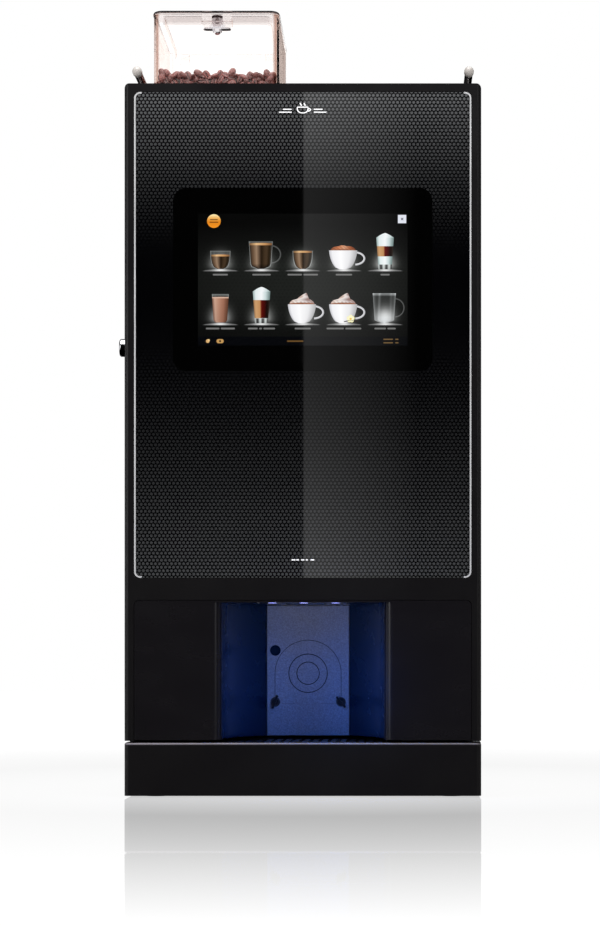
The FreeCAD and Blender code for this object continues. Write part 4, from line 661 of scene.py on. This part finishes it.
COFFEE = [(0.0, (50, 42, 34)), (0.12, (96, 73, 54)), (0.3, (150, 124, 100)), (0.44, (88, 69, 54)),
          (0.52, (33, 23, 13)), (0.66, (62, 47, 32)), (0.78, (70, 54, 38)), (0.9, (36, 26, 14)),
          (1.0, (64, 60, 56))]
CREMA = [(0.0, (120, 88, 58)), (0.3, (226, 184, 134)), (0.7, (196, 144, 92)), (1.0, (120, 84, 54))]
LAYERED = [(0.0, (150, 112, 76)), (0.12, (204, 158, 110)), (0.4, (189, 139, 90)), (0.5, (92, 14, 8)),
           (0.72, (58, 10, 8)), (0.85, (22, 11, 8)), (1.0, (44, 34, 28))]
FOAM = [(0.0, (150, 170, 168)), (0.15, (225, 236, 236)), (0.5, (246, 249, 250)), (0.75, (200, 216, 216)),
        (1.0, (110, 130, 128))]
CHOCOLATE = [(0.0, (120, 88, 74)), (0.15, (205, 164, 142)), (0.4, (186, 138, 114)), (0.7, (160, 110, 88)),
             (1.0, (92, 58, 42))]
CHINA = [(0.0, (196, 196, 202)), (0.1, (240, 240, 243)), (0.4, (254, 254, 255)), (0.75, (232, 232, 234)),
         (1.0, (176, 176, 178))]
CREAM = [(0.0, (196, 170, 158)), (0.3, (238, 226, 220)), (0.6, (214, 204, 202)), (1.0, (150, 122, 116))]
AMBER = [(0, (250, 150, 36)), (0.45, (224, 132, 30)), (0.7, (240, 178, 92)), (1, (255, 240, 186))]
COCOA = [(0.0, (120, 66, 40)), (0.3, (188, 112, 72)), (0.55, (206, 150, 118)), (0.8, (150, 80, 46)),
         (1.0, (96, 52, 32))]


def small_coffee(picture, x, base, fill):
    """A small double-walled glass of espresso; fill is the drink's height in millimetres."""
    glass_shell((picture, x, base, vessel(10.6, 0.1, 0.75), 19.2), 0.45)
    inner = (picture, x, base + 0.5, vessel(9.7, 0.05, 0.85), fill)
    filled(inner, 0.0, fill, across(COFFEE))
    filled(inner, fill - 1.7, fill, across(CREMA), 3, dome=0.3)


def coffee_mug(picture, x, base):
    glass_shell((picture, x, base, vessel(12.4, 0.16, 0.2), 29.0))
    handle(picture, x + 11.5, base + 16.5, 9.0, 16.0, 1.3, (170, 172, 172), 0.45)
    inner = (picture, x, base + 0.6, vessel(11.8, 0.16, 0.22), 27.0)

    def drink(u, v):
        return tuple(c * (0.35 + 0.65 * clamp(v * 5)) for c in along(COFFEE, u))
    filled(inner, 0.0, 26.0, drink, 3)
    filled(inner, 24.4, 26.4, across(CREMA), 4, dome=0.4)


def layered_glass(picture, x, base, milk_low):
    """A tall glass: clear foot, milk up to milk_low, coffee and a peak of foam."""
    half, foot, foam_low, height = 9.1, 5.0, 24.0, 33.0
    glass = (picture, x, base, vessel(half, 0.26, 0.0), height)

    def clear_foot(u, v):
        ribs = 0.5 + 0.5 * cos(u * tau * 2.5)
        return (200 * ribs + 20, 208 * ribs + 20, 206 * ribs + 20, 0.75)
    filled(glass, 0.0, foot, clear_foot)
    filled(glass, foot, milk_low, across(FOAM))
    filled(glass, milk_low, foam_low, across(LAYERED))
    filled(glass, foam_low, height, across(FOAM))

    def peak(u, v):
        side = 2 * u - 1
        return x + side * half, base + height - 0.2 + v * 4.8 * (1 - abs(side) ** 1.4)
    picture.patch(peak, lambda u, v: along(FOAM, u * 0.9), 16, 4, 3)


def chocolate_glass(picture, x, base):
    glass = (picture, x, base, vessel(8.7, 0.2, 0.12), 30.2)
    glass_shell(glass, 0.6)

    def drink(u, v):
        return tuple(c * (0.9 + 0.1 * v) for c in along(CHOCOLATE, u))
    filled(glass, 0.8, 27.0, drink)
    filled(glass, 25.8, 27.0, flat(214, 176, 154), 3, dome=0.3)


def china_cup(picture, x, base, topping):
    """A white cup with a domed topping of cocoa, or of whipped cream with a swirl."""
    height = 19.6
    handle(picture, x + 12.6, base + 12.0, 9.4, 11.5, 1.9, (236, 236, 240))
    filled((picture, x, base, vessel(14.6, 0.12, 0.95, 2.0), height), 0.0, height, across(CHINA), 3)
    rise, tones = (5.0, COCOA) if topping == "cocoa" else (6.2, CREAM)

    def dome(u, v):
        side = 2 * u - 1
        round_off = max(0.0, 1 - side * side)
        up = rise * sqrt(round_off) + 0.35 * sin(u * 17) * round_off
        return x + side * (13.6 - 0.5 * v), base + height + v * up

    def dome_tone(u, v):
        fleck = 1 + 0.16 * sin(u * 43 + v * 9)
        rim = (150, 96, 68) if v < 0.25 else along(tones, u)
        return tuple(min(255, c * fleck) for c in rim)
    picture.patch(dome, dome_tone, 28, 5, 2)
    if topping == "cream":
        def swirl(u, v):
            lean = 3.6 * v ** 2
            return x + 1.0 + lean + (2 * u - 1) * 7.8 * (1 - v) ** 0.75, base + height + 3.4 + v * 8.4
        picture.patch(swirl, lambda u, v: along(CREAM, clamp(u + 0.22 * sin(v * 9))), 14, 10, 4)


def flower(picture, x, base):
    middle, reach = base + 4.6, 2.3
    for petal in range(5):
        angle = petal * tau / 5 + 0.3
        place = (x + reach * cos(angle), middle + reach * sin(angle))
        picture.disc(*place, 1.9, lambda u, v: (250, 246, 224 - 40 * v), 5)
    picture.disc(x, middle, 1.1, flat(236, 190, 84), 6)
    for reach, drop in ((-6.8, 3.4), (7.0, 2.6)):
        picture.stroke(lambda t, r=reach, d=drop: (x + r * t, base + 3.0 - d * 0.4 * t), 1.0,
                       flat(40, 24, 16), 8, 5)


def water_mug(picture, x, base):
    def paint(u, v):
        side = 2 * u - 1
        glow = bump(side, 0, 0.75) * bump(v, 0, 0.3)
        edge = abs(side) ** 6
        rim = clamp((v - 0.95) / 0.05) * 0.5
        streak = 0.25 * bump(u, 0.2 + 0.1 * v, 0.05) + 0.16 * bump(u, 0.8, 0.05)
        return (225, 229, 231, clamp(0.08 + 0.85 * glow + 0.4 * edge + rim + streak))
    filled((picture, x, base, vessel(12.0, 0.18, 0.1), 31.0), 0.0, 31.0, paint)
    handle(picture, x + 11.4, base + 17.0, 9.0, 17.0, 1.2, (176, 178, 178), 0.45)


def plate(picture, x, base):
    """The lit shelf that each drink stands on."""
    def place(u, v):
        side = 2 * u - 1
        depth = 2.2 * sqrt(max(0.0, 1 - side * side)) * (1 - 0.25 * abs(side))
        return x + side * 19.3, base - 1.9 + v * depth

    def paint(u, v):
        middle = 1 - abs(2 * u - 1)
        lift = 120 + 115 * bump(2 * u - 1, 0, 0.42)
        return (lift, lift, lift, clamp(middle * 6) * (1 - 0.55 * v * (1 - 0.8 * middle)))
    picture.patch(place, paint, 36, 5, 1)


def drinks():
    picture = Picture()
    top, foot = ROW_BASES
    for base in ROW_BASES:
        for x in COLUMNS:
            plate(picture, x, base)
    small_coffee(picture, COLUMNS[0], top, 14.6)
    coffee_mug(picture, COLUMNS[1] - 0.8, top)
    small_coffee(picture, COLUMNS[2], top, 18.4)
    china_cup(picture, COLUMNS[3] - 0.8, top, "cocoa")
    layered_glass(picture, COLUMNS[4], top, 13.4)
    chocolate_glass(picture, COLUMNS[0], foot)
    layered_glass(picture, COLUMNS[1], foot, 5.2)
    china_cup(picture, COLUMNS[2] - 0.8, foot, "cream")
    china_cup(picture, COLUMNS[3] - 0.8, foot, "cream")
    flower(picture, COLUMNS[3] + 7.0, foot)
    water_mug(picture, COLUMNS[4] - 0.8, foot)
    picture.piece("screen_drinks")


LABELS = (((15.5,), (19.0,), (15.0, 15.0), (17.0,), (9.5,)),
          ((14.0, 14.5), (10.0, 3.0, 12.0), (16.6,), (18.0, 16.5), (12.0, 8.6)))


def labels():
    """Plain bars where the drinks' names stand, and the plain controls along the top and bottom."""
    picture = Picture()
    gap = 1.5
    for base, widths in zip(ROW_BASES, LABELS):
        for column, words in zip(COLUMNS, widths):
            x = column - (sum(words) + gap * (len(words) - 1)) / 2
            for word in words:
                picture.box(x + word / 2, base - 5.5, word, 1.7, (118, 118, 117))
                x += word + gap

    def amber(u, v):
        up = 0.5 + 0.5 * v * cos(tau * u)
        return along(AMBER, up)
    top = SCREEN_H / 2 - 7.7
    picture.disc(-92.0, top, 7.1, amber)
    picture.box(-92.0, top + 1.5, 8.0, 1.0, (120, 84, 40), 4)
    picture.box(-92.0, top - 1.2, 9.0, 1.0, (112, 66, 20), 4)
    picture.patch(lambda u, v: (98.6 + 8.6 * u, top - 2.2 + 8.6 * v), flat(226, 229, 240), 1, 1, 3)
    for slant in (1, -1):
        picture.stroke(lambda t, s=slant: (101.7 + 2.4 * t, top + 2.1 + s * (1.6 * t - 0.8) * 1.5), 0.7,
                       flat(46, 52, 70), 4, 4)
    status = STATUS_H / 2 - SCREEN_H / 2 - 0.2
    picture.disc(-98.4, status, 1.9, flat(214, 170, 112))
    picture.disc(-97.4, status + 0.9, 1.2, flat(236, 200, 140), 4)
    picture.box(-85.6, status, 7.4, 4.2, (196, 152, 90))
    picture.disc(-85.6, status, 1.1, flat(60, 40, 16), 4)
    picture.box(-7.8, status, 17.0, 1.5, (104, 76, 40))
    for z in (1.9, -1.7):
        picture.box(88.5, status + z, 10.0, 1.2, (112, 88, 54))
        picture.box(97.5, status + z, 3.4, 1.2, (112, 88, 54))
    picture.piece("screen_labels")


def backdrop_plate():
    def place(u, v):
        return (u - 0.5) * SCREEN_W, (v - 0.5) * SCREEN_H
    picture = Picture()
    picture.patch(place, lambda u, v: backdrop(*place(u, v)), 260, 170, 0)
    picture.piece("screen_backdrop")


backdrop_plate()
drinks()
labels()


# ---- marks printed on the glass
def white_print_with_painted_glow():
    # Painted glow: the white print gives off a little light of its own.
    f = Finish("white_print_with_painted_glow", {"IOR": 1.5, "Emission Strength": 0.35})
    worn = f.fall(f.noise(0.0015, 4.0), 0.35, 0.7)
    f.tint(f.blend(worn, colour(225, 226, 228), colour(244, 244, 245)))
    f.set("Emission Color", f.blend(worn, colour(225, 226, 228), colour(250, 250, 250)))
    f.rough(worn, 0.0, 1.0, 0.12, 0.2)
    return f.material


def flat_lines(name, y, strokes, material):
    """Lines in a plane of constant y on the door; each stroke is its path, width and steps."""
    points, faces = [], []
    for path, width, steps in strokes:
        first = len(points)
        for i in range(steps + 1):
            for reach in (-width / 2, width / 2):
                x, z = beside(path, i / steps, reach)
                points.append((x, y, z))
        faces += [(a, a + 2, a + 3, a + 1) for a in range(first, first + 2 * steps, 2)]
    finished(mesh_piece(name, points, faces, material, smooth=False), "door")


def glass_marks():
    """A plain cup outline with two wisps of steam high on the glass, and a row of plain dashes low on it."""
    glass_low, glass_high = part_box("glass_panel")
    cup_z = glass_high.z - 17.6 * MM
    dash = (glass_low.z + 18.5 * MM - cup_z) / MM
    half = 5.6
    strokes = []

    def curve(place, width=1.1, steps=24):
        """place gives millimetres from the cup's middle."""
        def path(t):
            x, z = place(t)
            return SCREEN_X + x * MM, cup_z + z * MM
        strokes.append((path, width * MM, steps))
    curve(lambda t: (-half * cos(pi * t), 2 - 6 * clamp(sin(pi * t)) ** 0.6), steps=40)
    curve(lambda t: (half * (2 * t - 1), 2), steps=2)
    curve(lambda t: (half + 2.6 * sin(pi * t), 1 - 3.4 * t))
    for side in (-1, 1):
        curve(lambda t, s=side: (2 * s + 0.6 * sin(tau * t), 3.4 + 2.8 * t))
        curve(lambda t, s=side: (s * (11.5 + 13 * t), -3.2), steps=2)
        curve(lambda t, s=side: (s * (11.5 + 9 * t), -0.2), steps=2)
    for i, length in enumerate((4.0, 2.6, 3.4, 2.2, 3.8)):
        curve(lambda t, i=i, n=length: (-11.5 + 4.9 * i + n * t, dash), 1.3, 2)
    flat_lines("glass_marks", glass_low.y - 0.1 * MM, strokes, white_print_with_painted_glow())


glass_marks()


# ---- the cup bay's back
EMBLEM_ABOVE = 68.0 * MM
SEAT_ABOVE = 35.2 * MM
ARCH_R = 36.2 * MM


def shadow_groove():
    """Painted shadow for the floor of a pressed line, dark and blotchy."""
    f = Finish("painted_groove_shadow", {"IOR": 1.5})
    blotches = f.noise(0.003, 4.0)
    f.tint(f.blend(f.rise(blotches, 0.3, 0.7), colour(16, 16, 24), colour(34, 33, 44)))
    f.rough(blotches, 0.3, 0.7, 0.4, 0.6)
    return f.material


def arc(x0, z0, radius, start, end):
    """Path along part of a circle, angles in turns anticlockwise from +X."""
    def path(t):
        angle = tau * (start + (end - start) * t)
        return x0 + radius * cos(angle), z0 + radius * sin(angle)
    return path


def pressed_lines():
    """Painted shadow lines along the pressed ring, disc and arch on the bay's back panel."""
    low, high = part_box("niche_back_panel")
    x0, z0 = (low.x + high.x) / 2, low.z + EMBLEM_ABOVE
    seat = low.z + SEAT_ABOVE
    raised = [(arc(x0, z0, r * MM, 0.0, 1.0), 0.9 * MM, 72) for r in (21.05, 12.25)]
    # Dark strips over the pressed lines: painted shadow in the grooves.
    groove_shadow = shadow_groove()
    flat_lines("pressed_ring_shadow", low.y - 0.06 * MM, raised, groove_shadow)
    uprights, rounding = (x0 + ARCH_R, x0 - ARCH_R), 8 * MM
    outline = [
        (arc(x0, z0, ARCH_R, 0.0, 0.5), 0.7 * MM, 48),
        *((lambda t, x=x: (x, seat + rounding + (z0 - seat - rounding) * t), 0.7 * MM, 2) for x in uprights),
        (lambda t: (x0 - 29 * MM + 58 * MM * t, seat), 0.8 * MM, 2),
    ]
    flat_lines("pressed_arch_shadow", low.y + 0.94 * MM, outline, groove_shadow)


pressed_lines()


# ---- coffee beans
BEAN_LONG = 10.2 * MM
BEAN_WIDE = 7.3 * MM
BEAN_THICK = 5.2 * MM
BEAN_GAP = 5.6 * MM
BEAN_TONE = (0.165, 0.06, 0.053)
# Painted shade: how dark a bean is along its crease.
CREASE_SHADE = 0.06
CORE_INSET = 7.0 * MM


def bean_shape():
    """One bean: domed back, flat front with a crease along it. Its flat side faces +Z."""
    rings, sides = 7, 10
    points = [Vector((-BEAN_LONG / 2, 0, 0))]
    for i in range(1, rings):
        t = i / rings
        x = -cos(pi * t)
        size = sqrt(1 - x * x) ** 0.8
        turns = [pi * k / (sides - 4) for k in range(sides - 3)]
        profile = [(cos(a), -sin(a)) for a in turns]
        profile += [(-0.22, 0.34), (0.0, 0.34 - 0.5 * size), (0.22, 0.34)]
        for py, pz in profile:
            z = pz * BEAN_THICK * 0.62 if pz < 0 else pz * BEAN_THICK
            points.append(Vector((x * BEAN_LONG / 2, py * size * BEAN_WIDE / 2, z * size)))
    points.append(Vector((BEAN_LONG / 2, 0, 0)))
    faces = []
    last = len(points) - 1
    ring = last - sides
    for k in range(sides):
        after = (k + 1) % sides
        faces += [(0, 1 + after, 1 + k), (last, ring + k, ring + after)]
    return points, faces + bands(1, rings - 1, sides)


def bean_spots(pick):
    """Places and directions spread over the sides and top of the CAD heap, about a bean apart."""
    heap = nodes["coffee_beans"].data
    heap.calc_loop_triangles()
    triangles = [t for t in heap.loop_triangles if t.normal.z > -0.5]
    areas = [t.area for t in triangles]
    spots, taken = [], {}
    for triangle in pick.choices(triangles, areas, k=26000):
        a, b, c = (heap.vertices[i].co for i in triangle.vertices)
        r, s = pick.random(), pick.random()
        if r + s > 1:
            r, s = 1 - r, 1 - s
        point = a + (b - a) * r + (c - a) * s
        cell = tuple(int(v // BEAN_GAP) for v in point)
        near = (taken.get(tuple(map(sum, zip(cell, step))), ()) for step in product((-1, 0, 1), repeat=3))
        if any((point - other).length < BEAN_GAP for group in near for other in group):
            continue
        taken.setdefault(cell, []).append(point)
        spots.append((point, triangle.normal.copy()))
    return spots


def bean_heap():
    """Roasted beans over the whole outside of the heap, each turned its own way."""
    pick = random.Random(7)
    shape, shape_faces = bean_shape()
    points, faces, tones = [], [], []
    for place, out in bean_spots(pick):
        top = out.z > 0.7
        sink = pick.uniform(2.6, 5.4) if top else pick.uniform(3.0, 3.7)
        flat_side = out if pick.random() < 0.68 else -out
        turn = flat_side.to_track_quat("Z", "X").to_matrix()
        tilt = 0.75 if top else 0.3
        for axis in "XY":
            turn = turn @ Matrix.Rotation(pick.uniform(-tilt, tilt), 3, axis)
        turn = turn @ Matrix.Rotation(pick.uniform(0, tau), 3, "Z")
        size = pick.uniform(0.9, 1.08)
        centre = place - out * sink * MM
        first = len(points)
        tone = pick.uniform(0.75, 1.3)
        warm = pick.uniform(0.9, 1.1)
        red, green, blue = BEAN_TONE
        for p in shape:
            points.append(centre + turn @ (p * size))
            # Painted shade along each bean's crease.
            in_crease = abs(p.y) < 0.02 * BEAN_WIDE and p.z > -0.1 * BEAN_THICK
            shade = tone * (CREASE_SHADE if in_crease else 1.0)
            tones.append((red * warm * shade, green * shade, blue * shade, 1.0))
        faces += [tuple(first + i for i in face) for face in shape_faces]
    beans = mesh_piece("bean_heap", points, faces, materials["beans"])
    paint_points(beans, "bean_tone_and_shade", tones)
    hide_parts("coffee_beans")
    finished(beans, "cabinet")


def bean_shade_core():
    """The beans deeper in the heap, as one shrunken shell painted far darker than the beans: painted shade
    in the gaps between the outer ones.
    """
    low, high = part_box("coffee_beans")
    middle = (low + high) / 2
    source = nodes["coffee_beans"].data
    shrink = Vector(1 - CORE_INSET / size for size in high - low)
    points = [middle + (v.co - middle) * shrink for v in source.vertices]
    faces = [tuple(p.vertices) for p in source.polygons]
    core = mesh_piece("bean_shade_core", points, faces, materials["beans"])
    # Painted shade: the core is much darker than any bean.
    paint_points(core, "bean_tone_and_shade", [(0.05, 0.02, 0.015, 1.0)] * len(points))
    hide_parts("coffee_beans")
    finished(core, "cabinet")


bean_heap()
bean_shade_core()


# ---- small fasteners
def screw_heads(name, places, normal, radius, body, slot):
    """Domed heads with a cross recess, at places on a face with that normal."""
    points, faces = [], []
    normal = Vector(normal)
    right = normal.orthogonal().normalized()
    up = normal.cross(right)
    rings = ((1.0, 0.0), (1.0, 0.16), (0.9, 0.34), (0.6, 0.47), (0.3, 0.5))
    sides = 20
    for place in places:
        first = len(points)
        for reach, rise in rings:
            for k in range(sides):
                a = tau * k / sides
                drop = 0.3 if reach < 0.7 and k % 5 == 0 else 0.0
                spot = right * cos(a) * reach + up * sin(a) * reach + normal * (rise - drop)
                points.append(Vector(place) + spot * radius)
        points.append(Vector(place) + normal * 0.16 * radius)
        faces += bands(first, len(rings), sides)
        last = first + (len(rings) - 1) * sides
        for k in range(sides):
            faces.append((last + k, last + (k + 1) % sides, len(points) - 1))
    finished(mesh_piece(name, points, faces, materials[slot]), body)


def all_screws():
    """The rear, top and inner cover screws, and two that hold the lamp carrier to the bay's ceiling."""
    low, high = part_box("rear_panel")
    inset = 9 * MM
    xs = (low.x + inset, (low.x + high.x) / 2, high.x - inset)
    zs = [low.z + inset + (high.z - low.z - 2 * inset) * k / 4 for k in range(5)]
    places = [(x, high.y, z) for x in xs for z in zs if x != xs[1] or z in (zs[0], zs[-1])]
    screw_heads("rear_screws", places, (0, 1, 0), 3.4 * MM, "cabinet", "zinc")
    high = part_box("top_panel")[1]
    places = [(x, high.y - inset, high.z) for x in (-0.12, 0.0, 0.12)]
    screw_heads("top_screws", places, (0, 0, 1), 3.0 * MM, "cabinet", "dark_fastener")
    low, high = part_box("door_inner_cover")
    inset = 8 * MM
    zs = (low.z + inset, (low.z + high.z) / 2 + 30 * MM, high.z - inset)
    places = [(x, high.y, z) for x in (low.x + inset, high.x - inset) for z in zs]
    screw_heads("cover_screws", places, (0, 1, 0), 2.6 * MM, "door", "zinc")
    low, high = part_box("led_lenses")
    places = [(x, low.y - 6 * MM, low.z) for x in (low.x - 4 * MM, high.x + 4 * MM)]
    screw_heads("ceiling_screws", places, (0, 0, -1), 2.6 * MM, "door", "chrome")


all_screws()


# ---- studio
PLAIN_WHITE = (1, 1, 1)
LAMP_BLUE = (0.04, 0.22, 1.0)
LAMP_WARM = (1.0, 0.8, 0.6)
LAMP_WATTS = 0.07
SIDE_WATTS = 0.075
WARM_WATTS = 0.016
SPILL_WATTS = 0.32
PANEL_WATTS = 40


def new_light(name, kind, place, aim, watts, tint, **settings):
    data = bpy.data.lights.new(name, kind)
    data.energy = watts
    data.color = tint
    for setting, value in settings.items():
        setattr(data, setting, value)
    light = add(name, data)
    light.location = place
    light.rotation_euler = (Vector(aim) - Vector(place)).to_track_quat("-Z", "Y").to_euler()
    return light


def softbox(name, place, aim, width, height, watts, tint=PLAIN_WHITE):
    """An area light, not seen by the camera or through clear plastic."""
    light = new_light(name, "AREA", place, aim, watts, tint, shape="RECTANGLE", size=width, size_y=height)
    light.visible_camera = False
    light.visible_transmission = False
    return light


softbox("key", (-2.3, -2.2, 1.15), (0, -0.2, 0.5), 1.0, 2.2, 15)
softbox("fill", (1.9, -2.6, 0.9), (0, -0.2, 0.4), 0.8, 1.6, 4)
softbox("front_top", (0, -1.0, 2.4), (0, -0.25, 0.3), 1.8, 1.5, 52)
softbox("overhead", (0, 0.3, 2.6), (0, 0.1, 0.5), 2.2, 1.0, 18)
softbox("left", (-2.4, -0.1, 0.45), (0, -0.1, 0.4), 0.8, 1.2, 5)
softbox("right", (2.4, -0.1, 0.45), (0, -0.1, 0.4), 0.8, 1.2, 2)
softbox("back", (0.4, 2.6, 1.6), (0, 0.1, 0.4), 1.8, 1.4, 14).visible_glossy = False


def panel_lights():
    """Wide lights for the cabinet's sides and rear only, so that these read as surfaces in other views."""
    panels = bpy.data.collections.new("cabinet_panels")
    for name in ("side_panel_left", "side_panel_right", "rear_panel", "base_pan"):
        panels.objects.link(nodes[name])
    places = {"left": (-2.2, 1.0, 1.3), "right": (2.2, 0.9, 1.3), "back": (-0.9, 2.6, 1.2)}
    for side, place in places.items():
        light = softbox("panel_" + side, place, (0, 0, 0.4), 1.4, 1.8, PANEL_WATTS)
        light.light_linking.receiver_collection = panels


def bay_lamps():
    """The three blue lamps over the cup."""
    low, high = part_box("led_lenses")
    middle = (low + high) / 2
    for i, x in enumerate((low.x + 9 * MM, middle.x, high.x - 9 * MM)):
        place = Vector((x, middle.y, low.z - 3 * MM))
        aim = place + Vector((0, 0.35, -1))
        lamp = new_light("bay_lamp_%d" % (i + 1), "SPOT", place, aim, LAMP_WATTS, LAMP_BLUE,
                         spot_size=radians(125), spot_blend=1.0, shadow_soft_size=6 * MM)
        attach(lamp, "door")


def bay_glow():
    """The soft light that the lamps throw from wall to wall of the bay and out over its lips."""
    low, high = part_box("niche_moulding")
    middle = (low + high) / 2
    lights = []
    for side in (-1, 1):
        place = middle + Vector((side * 10 * MM, -10 * MM, -25 * MM))
        aim = place + Vector((side, 0.25, 0))
        lights.append(softbox("bay_side_%d" % (side + 2), place, aim, 0.05, 0.1, SIDE_WATTS, LAMP_BLUE))
    place = Vector((middle.x, low.y + 14 * MM, high.z - 22 * MM))
    aim = place + Vector((0, 1, -0.1))
    lights.append(softbox("bay_warm", place, aim, 0.07, 0.01, WARM_WATTS, LAMP_WARM))
    place = Vector((middle.x + 45 * MM, low.y - 22 * MM, middle.z - 20 * MM))
    lights.append(new_light("bay_spill", "POINT", place, middle, SPILL_WATTS, LAMP_BLUE,
                            shadow_soft_size=20 * MM))
    for light in lights:
        light.visible_glossy = False
        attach(light, "door")


panel_lights()
bay_lamps()
bay_glow()


SKY_MATT = 0.2
SKY_RAYS = (("Is Glossy Ray", 0.03), ("Is Transmission Ray", 1.2), ("Is Camera Ray", 1.0))
SKY_RADIUS = 12.0
FLOOR_MIRROR = 0.56
FLOOR_GLOW = 1.01
FLOOR_MATT = (0.09, 0.09, 0.09, 1.0)
FLOOR_REACH = 7.0
GLASS_FRONT = [nodes[name] for name in ("glass_panel", "touch_panel", "panel_trims", "door_frame")]


def flat_card(name, corners, material):
    card = mesh_piece(name, corners, [(0, 1, 2, 3)], material, smooth=False)
    return card


def only_glossy(card):
    for ray in ("camera", "diffuse", "transmission", "volume_scatter", "shadow"):
        setattr(card, "visible_" + ray, False)


def glow_material(name, strength_of):
    """Plain light; strength_of makes the strength from the finish."""
    f = Finish(name)
    return f.show(f.node("Emission", {"Strength": strength_of(f)}).outputs[0])


def window_card():
    """A tall soft card beside the camera: its sharp left edge shows as the bright band on the glass."""
    y = -3.25
    left, right, low, high = -0.119, 0.14, 0.28, 1.5

    def strength(f):
        return f.remap(f.parts()[0], left, right, 0.36, 0.0)
    corners = [(left, y, low), (left, y, high), (right, y, high), (right, y, low)]
    card = flat_card("window_card", corners, glow_material("window_glow", strength))
    only_glossy(card)
    seen_in = bpy.data.collections.new("window_mirrors")
    for piece in scene.objects:
        if piece.type == "MESH" and (piece.name.startswith("screen_") or piece in GLASS_FRONT):
            seen_in.objects.link(piece)
    card.light_linking.receiver_collection = seen_in


def floor():
    """Pale, polished floor: it mirrors the machine's foot and the mirror image fades with distance."""
    f = Finish("floor")
    x, y, _ = f.parts()
    away = f.length(X=x, Y=y)
    fade = f.maths("POWER", f.rise(away, 0.5, 1.52), 1.5)
    weaker_near = f.remap(away, 0.25, 0.54, 0.68, 1.0)
    share = f.times(f.remap(fade, 0.0, 1.0, FLOOR_MIRROR, 0.0), weaker_near)
    glow = f.node("Emission", {"Strength": FLOOR_GLOW}).outputs[0]
    matt = f.node("BsdfDiffuse", {"Color": FLOOR_MATT}).outputs[0]
    pale = f.node("AddShader", {0: glow, 1: matt}).outputs[0]
    mirror = f.node("BsdfAnisotropic", {"Roughness": 0.02}).outputs[0]
    mixed = f.node("MixShader", {0: share, 1: pale, 2: mirror}).outputs[0]
    corners = [(x * FLOOR_REACH, y * FLOOR_REACH, 0) for x, y in ((-1, -1), (1, -1), (1, 1), (-1, 1))]
    ground = flat_card("floor", corners, f.show(mixed))
    ground.visible_glossy = False
    return ground


def bright_sky(mirrors):
    """White surroundings that only the given pieces mirror, so that the black case stays black."""
    mesh = bpy.data.meshes.new("floor_sky")
    shape = bmesh.new()
    bmesh.ops.create_uvsphere(shape, u_segments=32, v_segments=16, radius=SKY_RADIUS)
    shape.to_mesh(mesh)
    shape.free()
    mesh.materials.append(glow_material("sky_glow", lambda f: 1.0))
    sky = add("floor_sky", mesh)
    only_glossy(sky)
    receivers = bpy.data.collections.new("sky_mirrors")
    for piece in mirrors:
        receivers.objects.link(piece)
    sky.light_linking.receiver_collection = receivers


def surroundings():
    """White to the eye and through clear plastic, dim to matt surfaces and nearly black to polished ones."""
    scene.world = bpy.data.worlds.new("studio")
    scene.world.use_nodes = True
    tree = scene.world.node_tree
    path = tree.nodes.new("ShaderNodeLightPath")
    level = SKY_MATT
    for ray, strength in SKY_RAYS:
        step = tree.nodes.new("ShaderNodeMix")
        tree.links.new(path.outputs[ray], step.inputs["Factor"])
        if level is SKY_MATT:
            step.inputs["A"].default_value = level
        else:
            tree.links.new(level, step.inputs["A"])
        step.inputs["B"].default_value = strength
        level = step.outputs["Result"]
    tree.links.new(level, tree.nodes["Background"].inputs["Strength"])
    tree.nodes["Background"].inputs["Color"].default_value = (1, 1, 1, 1)


for name in ("hopper", "hopper_lid"):
    nodes[name].visible_shadow = False
window_card()
bright_sky([floor()])
surroundings()


# ---- camera
EYE = Vector((0.1007, -2.75, 0.148))
VIEW_HEIGHT = 0.9589
VIEW_CENTRE = Vector((-0.0028, cad_low.y, 0.3468))
SENSOR = 36.0
data = bpy.data.cameras.new("camera")
camera = add("camera", data)
camera.location = EYE
camera.rotation_euler = (pi / 2, 0, 0)
data.sensor_width = SENSOR
data.lens = SENSOR * (VIEW_CENTRE.y - EYE.y) / VIEW_HEIGHT
data.shift_x = (VIEW_CENTRE.x - EYE.x) / VIEW_HEIGHT
data.shift_y = (VIEW_CENTRE.z - EYE.z) / VIEW_HEIGHT
data.clip_end = 100.0
scene.camera = camera
